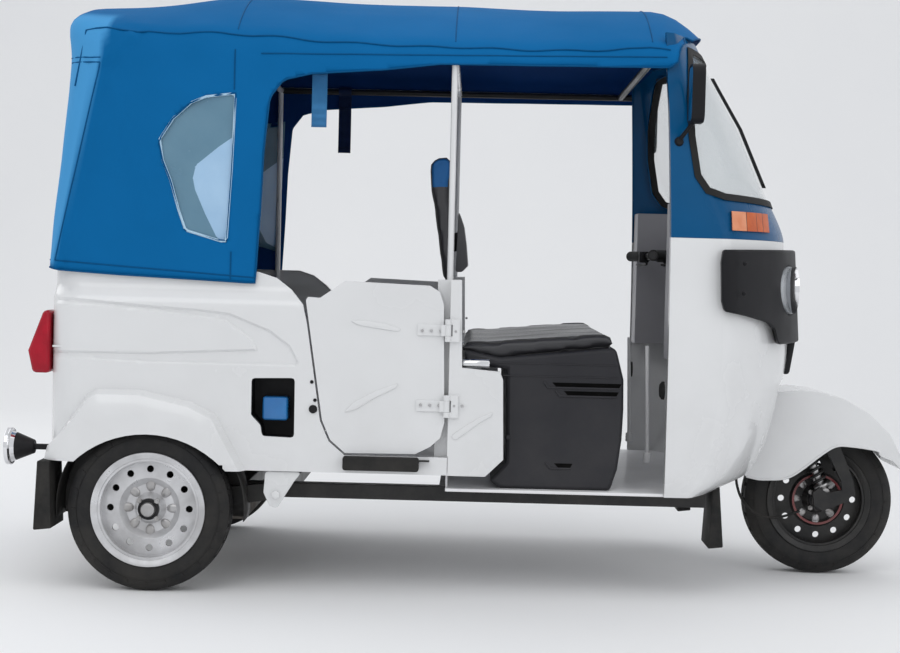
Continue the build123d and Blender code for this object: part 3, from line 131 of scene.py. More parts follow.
BODY_HALF_W = 0.6
TUB_REAR_X = -1.22
TUB_TOP_Z = 0.924
TUB_CORNER_R = 0.095
TUB_EDGE = metres(((-1300, 372), (-1300, 924), (-617, 924), (-566, 908), (-522, 875), (-484, 833), (-474, 790),
        (-455, 704), (-430, 576), (-408, 476), (-384, 434), (-357, 405), (-62, 405), (-62, 354), (-700, 354),
        (-700, 372)))
DOOR_EDGE = metres(((-476, 847), (-470, 856), (-436, 854), (-365, 904), (-222, 899), (-122, 896), (-93, 879),
        (-81, 842), (-72, 505), (-83, 461), (-111, 435), (-154, 413), (-355, 411), (-398, 448), (-423, 504)))
BLISTER = metres(((-1230, 822), (-1066, 816), (-922, 805), (-778, 791), (-706, 781), (-634, 729), (-622, 704),
        (-920, 688), (-1230, 686)))
BLISTER_RIM = metres(((-1230, 843), (-1066, 833), (-922, 822), (-779, 814), (-693, 805), (-577, 759), (-519, 717),
        (-492, 668), (-500, 655), (-920, 656), (-1230, 666)))
FLARE_EDGE = metres(((-1262, 330), (-1238, 372), (-1171, 459), (-1100, 561), (-1072, 579), (-943, 579), (-799, 548),
        (-727, 513), (-688, 442), (-650, 372), (-620, 330)))
DOOR_HINGE_X = -0.067
DOOR_HINGE_Z = (0.555, 0.768)
LID_HINGE = (-1.227, 0.687)  # x, z
ARCH_CENTRE = (-0.918, 0.152)
ARCH_R = 0.305
RECESS_EDGE = metres(((-627, 620), (-503, 623), (-502, 451), (-594, 454), (-600, 486), (-627, 514)))

FENDER_LOW = metres(((872, 316), (890, 312), (905, 309), (918, 308), (932, 308), (995, 313), (1041, 339), (1102, 388),
        (1148, 417), (1195, 419), (1277, 408), (1290, 393), (1325, 378)))
FENDER_HALF_W = 0.13

AXLE_Z = 0.236
REAR_AXLE_X, FRONT_AXLE_X = -0.915, 1.116
# Wheels: name, body, axle x, centre y, outer side
WHEELS = (
    ("rear_right", "rear_right_wheel", REAR_AXLE_X, -0.569, -1),
    ("rear_left", "rear_left_wheel", REAR_AXLE_X, 0.569, 1),
    ("front", "front_wheel", FRONT_AXLE_X, 0.0, -1),
)


# ---- settings shown in the sidebar
class BodySettings(bpy.types.PropertyGroup):
    """Sizes and colours of the painted panels."""

    white: FloatVectorProperty(name="White enamel", description="Paint of the panels", subtype="COLOR", size=3,
            default=(0.735, 0.74, 0.745))
    blue: FloatVectorProperty(name="Blue enamel", description="Paint of the windscreen frame", subtype="COLOR",
            size=3, default=(0.003, 0.115, 0.3))
    groove: FloatProperty(name="Groove depth", description="Depth of the pressed channel in the rear panels",
            default=0.007, unit="LENGTH")
    flare: FloatProperty(name="Arch flare", description="How far the rear arches stand out", default=0.046,
            unit="LENGTH")
    skin: FloatProperty(name="Sheet", description="Thickness of the panels' sheet", default=0.0025, unit="LENGTH")


class TopSettings(bpy.types.PropertyGroup):
    """Sizes and colours of the soft top."""

    canvas: FloatVectorProperty(name="Canvas", description="Colour of the soft top", subtype="COLOR", size=3,
            default=(0.001, 0.128, 0.352))
    # the inner side's colour is the canvas blue made darker: painted shade inside the soft top
    lining: FloatVectorProperty(name="Lining", description="Colour of the inner side", subtype="COLOR", size=3,
            default=(0.001, 0.04, 0.185))
    cell: FloatProperty(name="Cell", description="Size of the sheet's mesh cells", default=0.022, unit="LENGTH")
    thickness: FloatProperty(name="Thickness", description="Thickness of the canvas", default=0.0022, unit="LENGTH")
    sag: FloatProperty(name="Sag", description="How far the canvas hangs in between the bows", default=0.006,
            unit="LENGTH")


class SeatSettings(bpy.types.PropertyGroup):
    """How the cushions are stuffed."""

    voxel: FloatProperty(name="Voxel", description="Mesh size of the cushions' simulation", default=0.008,
            unit="LENGTH")
    pressure: FloatProperty(name="Pressure", description="Pressure of the stuffing", default=4.0)
    frames: IntProperty(name="Frames", description="Frames that the stuffing is simulated for", default=14)
    vinyl: FloatVectorProperty(name="Vinyl", description="Colour of the seat covers", subtype="COLOR", size=3,
            default=(0.044, 0.044, 0.049))


class WheelSettings(bpy.types.PropertyGroup):
    """Sizes of the wheels' visible details."""

    steps: IntProperty(name="Steps", description="Steps round a tyre", default=120)
    lug_depth: FloatProperty(name="Groove depth", description="Depth of the tread's grooves", default=0.006,
            unit="LENGTH")
    silver: FloatVectorProperty(name="Wheel silver", description="Paint of the rear wheels", subtype="COLOR", size=3,
            default=(0.5, 0.5, 0.51))


# ---- maths of outlines and tables
def straight(rows, key):
    """A table's row at a key in its first column, on straight lines between the rows."""
    keys = [row[0] for row in rows]
    i = max(0, min(len(rows) - 2, bisect_right(keys, key) - 1))
    share = max(0.0, min(1.0, (key - keys[i]) / (keys[i + 1] - keys[i])))
    return [a + (b - a) * share for a, b in zip(rows[i][1:], rows[i + 1][1:])]


def eased(rows, key):
    """A table's row at a key in its first column, on a smooth curve that never overshoots the rows."""
    keys = [row[0] for row in rows]
    last = len(rows) - 1
    i = max(0, min(last - 1, bisect_right(keys, key) - 1))
    span = keys[i + 1] - keys[i]
    t = max(0.0, min(1.0, (key - keys[i]) / span))

    def slope(j, column):
        before = (rows[j][column] - rows[j - 1][column]) / (keys[j] - keys[j - 1]) if j else None
        after = (rows[j + 1][column] - rows[j][column]) / (keys[j + 1] - keys[j]) if j < last else None
        if before is None or after is None:
            return after if before is None else before
        return 0.0 if before * after <= 0 else 2 * before * after / (before + after)

    values = []
    for column in range(1, len(rows[0])):
        a, b = rows[i][column], rows[i + 1][column]
        values.append((2 * t**3 - 3 * t**2 + 1) * a + (t**3 - 2 * t**2 + t) * span * slope(i, column)
                + (3 * t**2 - 2 * t**3) * b + (t**3 - t**2) * span * slope(i + 1, column))
    return values


def step(low, high, value):
    """Smooth step from 0 at low to 1 at high."""
    t = max(0.0, min(1.0, (value - low) / (high - low)))
    return t * t * (3 - 2 * t)


def rounded(outline, radius, steps=5):
    """A closed outline with its corners rounded by arcs."""
    points = [Vector(p) for p in outline]
    result = []
    for before, corner, after in zip(points[-1:] + points[:-1], points, points[1:] + points[:1]):
        a, b = (before - corner), (after - corner)
        half_turn = a.angle(b) / 2
        reach = min(radius / math.tan(half_turn), 0.45 * a.length, 0.45 * b.length)
        start, end = corner + a.normalized() * reach, corner + b.normalized() * reach
        for i in range(steps + 1):
            t = i / steps
            result.append(start.lerp(corner, t).lerp(corner.lerp(end, t), t))
    return result


def inside(outline, x, z):
    """Whether a point lies in a closed outline."""
    hit = False
    for (ax, az), (bx, bz) in zip(outline, outline[1:] + outline[:1]):
        if (az > z) != (bz > z) and x < (bx - ax) * (z - az) / (bz - az) + ax:
            hit = not hit
    return hit


def distance(outline, x, z, closed=True):
    """Distance from a point to an outline's edges."""
    ends = outline[1:] + outline[:1] if closed else outline[1:]
    best = 1e9
    for (ax, az), (bx, bz) in zip(outline, ends):
        dx, dz = bx - ax, bz - az
        t = max(0.0, min(1.0, ((x - ax) * dx + (z - az) * dz) / (dx * dx + dz * dz)))
        best = min(best, math.hypot(x - ax - dx * t, z - az - dz * t))
    return best


def signed(outline, x, z):
    """Distance to a closed outline, negative inside it."""
    return -distance(outline, x, z) if inside(outline, x, z) else distance(outline, x, z)


def smooth_path(points, steps=6):
    """Points on a smooth curve through the given ones."""
    points = [Vector(p) for p in points]
    ends = [2 * points[0] - points[1], *points, 2 * points[-1] - points[-2]]
    path = []
    for a, b, c, d in zip(ends, ends[1:], ends[2:], ends[3:]):
        for i in range(steps):
            t = i / steps
            path.append(0.5 * (2 * b + (c - a) * t + (2 * a - 5 * b + 4 * c - d) * t * t + (3 * b - a - 3 * c + d)
                    * t**3))
    return [*path, points[-1]]


# ---- mesh helpers
def finish_piece(bm, name, finish, body="chassis", crease=32.0, replaces=(), turn=True):
    """Turns a bmesh into a shaded object that rides on a body."""
    if turn:
        bmesh.ops.recalc_face_normals(bm, faces=bm.faces)
    limit = math.radians(crease)
    for face in bm.faces:
        face.smooth = True
    for edge in bm.edges:
        edge.smooth = len(edge.link_faces) != 2 or edge.calc_face_angle(0.0) < limit
    mesh = bpy.data.meshes.new(name)
    bm.to_mesh(mesh)
    bm.free()
    piece = placed(name, mesh)
    finishes = finish if isinstance(finish, list) else [finish]
    for material in finishes:
        mesh.materials.append(bpy.data.materials[material])
    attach(piece, body)
    if replaces:
        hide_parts(*replaces)
    return piece


def thicken(piece, thickness, offset=-1.0):
    """Gives a sheet its thickness by a modifier."""
    solid = piece.modifiers.new("Thickness", "SOLIDIFY")
    solid.thickness = thickness
    solid.offset = offset
    solid.use_even_offset = True
    return solid


def placed(name, data):
    """A new object in the scene."""
    thing = bpy.data.objects.new(name, data)
    bpy.context.scene.collection.objects.link(thing)
    return thing


def ordered_grid(columns, rows):
    """A mesh grid, and its vertices column by column."""
    bm = bmesh.new()
    bmesh.ops.create_grid(bm, x_segments=columns - 1, y_segments=rows - 1, size=1.0)
    return bm, sorted(bm.verts, key=lambda v: (round(v.co.x, 5), round(v.co.y, 5)))


def vertices(made):
    """The vertices among the elements that an operator made."""
    return [item for item in made if isinstance(item, bmesh.types.BMVert)]


def bevel_edges(bm, edges, offset, segments):
    """Rounds edges of a bmesh."""
    bmesh.ops.bevel(bm, geom=edges, offset=offset, offset_type="OFFSET", segments=segments, profile=0.5,
            affect="EDGES", material=-1, clamp_overlap=True)


def edges_at(verts):
    """The edges that meet at some vertices, each once and in an order that never changes."""
    return list(dict.fromkeys(e for v in verts for e in v.link_edges))


def add_box(bm, low, high, bevel=0.0, segments=2):
    """A box between two corners, with rounded edges."""
    low, high = Vector(low), Vector(high)
    place = Matrix.Translation((low + high) / 2) @ Matrix.Diagonal((*(high - low), 1.0))
    made = bmesh.ops.create_cube(bm, size=1.0, matrix=place)
    if bevel:
        bevel_edges(bm, edges_at(made["verts"]), bevel, segments)


def pointing(start, end):
    """Matrix at a start point with Z towards an end point."""
    start, end = Vector(start), Vector(end)
    return Matrix.Translation(start) @ (end - start).to_track_quat("Z", "Y").to_matrix().to_4x4()


def add_rod(bm, start, end, radius, end_radius=None, sides=20, bevel=0.0):
    """A round rod or cone between two points, with its rims rounded."""
    length = (Vector(end) - Vector(start)).length
    made = bmesh.ops.create_cone(bm, cap_ends=True, segments=sides, radius1=radius,
            radius2=radius if end_radius is None else end_radius, depth=length,
            matrix=pointing(start, end) @ Matrix.Translation((0, 0, length / 2)))
    if bevel:
        rims = [e for e in edges_at(made["verts"]) if e.calc_face_angle(0.0) > 1.0]
        bevel_edges(bm, rims, bevel, 2)


def add_tube(bm, path, radius, sides=10, closed=False, flat=1.0):
    """A round bar along a path: circles carried from point to point and bridged."""
    path = [Vector(p) for p in path]
    count = len(path)
    loops = []
    side = None
    for i, point in enumerate(path):
        ahead = path[(i + 1) % count] if closed or i < count - 1 else point
        behind = path[i - 1] if closed or i else point
        along = (ahead - behind).normalized()
        if side is None:
            side = along.orthogonal().normalized() if abs(along.z) > 0.9 else along.cross((0, 0, 1)).normalized()
        side = (side - along * side.dot(along)).normalized()
        up = along.cross(side)
        turn = Matrix((side, up, along)).transposed().to_4x4()
        place = Matrix.Translation(point) @ turn @ Matrix.Diagonal((1.0, flat, 1.0, 1.0))
        ring = bmesh.ops.create_circle(bm, segments=sides, radius=radius, matrix=place)["verts"]
        loops.append(ring)
    pairs = list(zip(loops, loops[1:])) + ([(loops[-1], loops[0])] if closed else [])
    for a, b in pairs:
        edges = [bm.edges.get((r[i], r[(i + 1) % sides])) for r in (a, b) for i in range(sides)]
        bmesh.ops.bridge_loops(bm, edges=edges)
    if not closed:
        for ring in (loops[0], loops[-1]):
            bmesh.ops.contextual_create(bm, geom=ring)


def add_lathe(bm, profile, centre, axis, steps=64):
    """Turns a profile of (radius, distance along the axis) once round an axis."""
    axis = Vector(axis).normalized()
    out = axis.orthogonal().normalized()
    if abs(axis.y) > 0.9:
        out = Vector((0, 0, 1))
    points = [Vector(centre) + out * r + axis * a for r, a in profile]
    verts = [bm.verts.new(p) for p in points]
    edges = [bm.edges.new(pair) for pair in zip(verts, verts[1:])]
    bmesh.ops.spin(bm, geom=verts + edges, cent=centre, axis=axis, dvec=(0, 0, 0), angle=math.tau, steps=steps,
            use_merge=True, use_duplicate=False)
    bmesh.ops.remove_doubles(bm, verts=bm.verts, dist=1e-6)


def add_prism(bm, outline, y_low, y_high, bevel=0.0, segments=3):
    """An (x, z) outline drawn out across the vehicle, with rounded edges."""
    face = bm.faces.new([bm.verts.new((x, y_low, z)) for x, z in outline])
    made = bmesh.ops.extrude_face_region(bm, geom=[face])["geom"]
    top = vertices(made)
    bmesh.ops.translate(bm, verts=top, vec=(0, y_high - y_low, 0))
    if bevel:
        rims = [e for e in edges_at((*face.verts, *top)) if abs(e.verts[0].co.y - e.verts[1].co.y) < 1e-6]
        bevel_edges(bm, rims, bevel, segments)


def side_prism(bm, outline, sign, near, far, bevel=0.0):
    """A prism on one side of the vehicle, between two distances from its middle."""
    add_prism(bm, outline, *sorted((sign * near, sign * far)), bevel, 2)


def side_box(bm, sign, x, y, z, bevel=0.001):
    """A box on one side of the vehicle; x, y and z are pairs, y measured from its middle."""
    y = sorted((sign * y[0], sign * y[1]))
    add_box(bm, (x[0], y[0], z[0]), (x[1], y[1], z[1]), bevel)


LENGTHWISE = {"flat": lambda p: (p.y, p.z), "across": (1, 0, 0)}  # for outlines of y and z


def cut_outline(bm, outline, reach, keep="outside", flat=lambda p: (p.x, p.z), across=(0, 1, 0), margin=0.004):
    """Cuts a closed outline through the faces that reach() picks, and removes its inside or its outside."""
    across = Vector(across)
    spot = [Vector(p) for p in outline]
    for a, b in zip(spot, spot[1:] + spot[:1]):
        low = (min(a.x, b.x) - margin, min(a.y, b.y) - margin)
        high = (max(a.x, b.x) + margin, max(a.y, b.y) + margin)
        faces = []
        for face in bm.faces:
            corners = [flat(v.co) for v in face.verts]
            if (min(c[0] for c in corners) <= high[0] and max(c[0] for c in corners) >= low[0]
                    and min(c[1] for c in corners) <= high[1] and max(c[1] for c in corners) >= low[1]
                    and reach(face.calc_center_median())):
                faces.append(face)
        if across.y:
            start, along = Vector((a.x, 0, a.y)), Vector((b.x - a.x, 0, b.y - a.y))
        else:
            start, along = Vector((0, a.x, a.y)), Vector((0, b.x - a.x, b.y - a.y))
        if along.length < 1e-6:
            continue
        geom = list({*faces, *(e for f in faces for e in f.edges), *(v for f in faces for v in f.verts)})
        bmesh.ops.bisect_plane(bm, geom=geom, dist=1e-6, plane_co=start, plane_no=along.cross(across).normalized())
    if keep is None:
        return
    flat_outline = [tuple(p) for p in spot]
    doomed = []
    for face in bm.faces:
        centre = face.calc_center_median()
        if reach(centre) and inside(flat_outline, *flat(centre)) == (keep == "outside"):
            doomed.append(face)
    bmesh.ops.delete(bm, geom=doomed, context="FACES")


def fold_rims(bm, move):
    """Turns the open edges of a sheet over, each new vertex moved by move(place)."""
    made = bmesh.ops.extrude_edge_only(bm, edges=[e for e in bm.edges if e.is_boundary])["geom"]
    for vert in vertices(made):
        vert.co += Vector(move(vert.co))


def clean_slivers(bm, size):
    """Welds vertices that cutting left closer together than a size, keeping those on open edges."""
    held = [v for v in bm.verts if v.is_boundary]
    found = bmesh.ops.find_doubles(bm, verts=bm.verts, keep_verts=held, dist=size)
    bmesh.ops.weld_verts(bm, targetmap=found["targetmap"])
    bmesh.ops.dissolve_degenerate(bm, edges=bm.edges, dist=1e-6)


def dress(node, finish, bevel=0.002, crease=32.0, body="chassis", slot=None):
    """A copy of a CAD node with merged corners and rounded edges, in place of the node."""
    bm = bmesh.new()
    bm.from_mesh(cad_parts[node].data)
    bmesh.ops.remove_doubles(bm, verts=bm.verts, dist=1e-5)
    bmesh.ops.dissolve_limit(bm, angle_limit=math.radians(0.4), verts=bm.verts, edges=bm.edges,
            use_dissolve_boundaries=False)
    piece = finish_piece(bm, f"{node}_finish", finish, body, crease, (node,), turn=False)
    if bevel:
        edges = piece.modifiers.new("Edges", "BEVEL")
        edges.width = bevel
        edges.segments = 2
        edges.limit_method = "ANGLE"
        edges.angle_limit = math.radians(35)
        edges.harden_normals = False
    return piece


def recolour(piece, finish, where):
    """Gives the faces whose centre where() picks another material."""
    piece.data.materials.append(bpy.data.materials[finish])
    for face in piece.data.polygons:
        if where(face.center):
            face.material_index = len(piece.data.materials) - 1


# ---- materials
class Graph:
    """Adds nodes to a shader tree and links them."""

    def __init__(self, tree):
        self.tree = tree

    def add(self, kind, sockets=None, **settings):
        """A new node, with its settings made and its sockets set or linked."""
        node = self.tree.nodes.new(kind)
        for key, value in settings.items():
            setattr(node, key, value)
        for key, value in (sockets or {}).items():
            if isinstance(value, bpy.types.NodeSocket):
                self.tree.links.new(value, node.inputs[key])
            else:
                node.inputs[key].default_value = value
        return node

    def maths(self, operation, a, b=0.0, c=0.0):
        return self.add("ShaderNodeMath", {0: a, 1: b, 2: c}, operation=operation).outputs[0]

    def noise(self, vector, scale, detail=3.0, roughness=0.55):
        return self.add("ShaderNodeTexNoise", {"Vector": vector, "Scale": scale, "Detail": detail,
                "Roughness": roughness}).outputs[0]

    def span(self, value, low, high, to_low=0.0, to_high=1.0):
        return self.add("ShaderNodeMapRange", {"Value": value, "From Min": low, "From Max": high, "To Min": to_low,
                "To Max": to_high}).outputs[0]

    def mix(self, factor, a, b):
        return self.add("ShaderNodeMix", {0: factor, 6: a, 7: b}, data_type="RGBA").outputs[2]


def effect_group(name, inputs, outputs):
    """An empty node group with the given sockets, and its graph, group input and group output."""
    tree = bpy.data.node_groups.new(name, "ShaderNodeTree")
    kinds = {"color": "NodeSocketColor", "value": "NodeSocketFloat", "vector": "NodeSocketVector"}
    for key, kind in inputs:
        tree.interface.new_socket(name=key, in_out="INPUT", socket_type=kinds[kind])
    for key, kind in outputs:
        tree.interface.new_socket(name=key, in_out="OUTPUT", socket_type=kinds[kind])
    graph = Graph(tree)
    return tree, graph, graph.add("NodeGroupInput").outputs, graph.add("NodeGroupOutput").inputs


def wear_group():
    """Tone patches, road dust near the ground and roughness patches, for any surface."""
    tree, g, given, result = effect_group("Wear", [("Colour", "color"), ("Second", "color"), ("Patches", "value"),
            ("Dust", "value"), ("Rough", "value"), ("Spread", "value")], [("Colour", "color"), ("Roughness", "value"),
            ("Patch", "value")])
    place = g.add("ShaderNodeTexCoord").outputs["Object"]
    patch = g.span(g.noise(place, given["Patches"], 5.0), 0.35, 0.65)
    height = g.add("ShaderNodeSeparateXYZ", {0: place}).outputs["Z"]
    low = g.span(height, 0.15, 0.75, 1.0, 0.06)
    dust = g.maths("MULTIPLY", g.maths("MULTIPLY", low, g.span(g.noise(place, 9.0, 8.0, 0.7), 0.38, 0.72)),
            given["Dust"])
    tone = g.mix(patch, given["Colour"], given["Second"])
    colour = g.mix(dust, tone, (0.3, 0.27, 0.235, 1.0))
    rough = g.maths("ADD", g.maths("ADD", given["Rough"], g.maths("MULTIPLY", patch, given["Spread"])),
            g.maths("MULTIPLY", dust, 0.35))
    for socket, source in (("Colour", colour), ("Roughness", rough), ("Patch", patch)):
        tree.links.new(source, result[socket])
    return tree


def grain_group():
    """Fine height of a surface: soft waves with small grains on them."""
    tree, g, given, result = effect_group("Grain", [("Waves", "value"), ("Grains", "value"), ("Share", "value")],
            [("Height", "value")])
    place = g.add("ShaderNodeTexCoord").outputs["Object"]
    waves = g.noise(place, given["Waves"], 2.0)
    grains = g.noise(place, given["Grains"], 3.0, 0.6)
    height = g.add("ShaderNodeMix", {0: given["Share"], 2: waves, 3: grains}).outputs[0]
    tree.links.new(height, result["Height"])
    return tree


def weave_group():
    """Height of crossing threads, the same on every side of a piece."""
    tree, g, given, result = effect_group("Weave", [("Threads", "value")], [("Height", "value")])
    place = g.add("ShaderNodeTexCoord").outputs["Object"]
    waves = []
    for direction in ("X", "Y", "Z"):
        waves.append(g.add("ShaderNodeTexWave", {"Vector": place, "Scale": given["Threads"], "Distortion": 0.6,
                "Detail": 1.0}, bands_direction=direction).outputs[1])
    height = g.maths("ADD", g.maths("MULTIPLY", waves[0], waves[2]), g.maths("MULTIPLY", waves[1], waves[2]))
    tree.links.new(height, result["Height"])
    return tree


def leather_group():
    """Height of leather grain: cells with creases between them."""
    tree, g, given, result = effect_group("Leather", [("Cells", "value")], [("Height", "value")])
    place = g.add("ShaderNodeTexCoord").outputs["Object"]
    bent = g.add("ShaderNodeMix", {0: 0.02, 4: place, 5: g.add("ShaderNodeTexNoise", {
        "Vector": place, "Scale": 30.0}).outputs["Color"]}, data_type="VECTOR").outputs[1]
    cells = g.add("ShaderNodeTexVoronoi", {"Vector": bent, "Scale": given["Cells"]},
            feature="DISTANCE_TO_EDGE").outputs["Distance"]
    tree.links.new(g.span(cells, 0.0, 0.12), result["Height"])
    return tree


def surface(name, colour, second, patches, dust, rough, spread, relief, relief_sizes, bump, depth, others):
    """A procedural material: worn colour, varied roughness and a fine relief."""
    material = bpy.data.materials.new(name)
    material.use_nodes = True
    g = Graph(material.node_tree)
    shader = material.node_tree.nodes["Principled BSDF"]
    wear = g.add("ShaderNodeGroup", node_tree=bpy.data.node_groups["Wear"])
    for key, value in (("Colour", (*colour, 1.0)), ("Second", (*second, 1.0)), ("Patches", patches), ("Dust", dust),
            ("Rough", rough), ("Spread", spread)):
        wear.inputs[key].default_value = value
    fine = g.add("ShaderNodeGroup", node_tree=bpy.data.node_groups[relief])
    for socket, value in zip(fine.inputs, relief_sizes):
        socket.default_value = value
    tone = wear.outputs["Colour"]
    # faces marked by the attribute read here get a lighter colour: a painted highlight
    if "painted_highlight" in others:
        mask = g.add("ShaderNodeAttribute", attribute_name="painted_highlight").outputs["Fac"]
        tone = g.mix(mask, tone, (*others["painted_highlight"], 1.0))
    bumped = g.add("ShaderNodeBump", {"Strength": bump, "Distance": depth, "Height": fine.outputs["Height"]})
    for key, source in (("Base Color", tone), ("Roughness", wear.outputs["Roughness"]),
            ("Normal", bumped.outputs["Normal"])):
        material.node_tree.links.new(source, shader.inputs[key])
    for key, socket, value in (("metallic", "Metallic", 0.0), ("coat", "Coat Weight", 0.0), ("alpha", "Alpha", 1.0),
            ("specular", "Specular IOR Level", 0.5)):
        shader.inputs[socket].default_value = others.get(key, value)
    shader.inputs["Coat Roughness"].default_value = 0.05


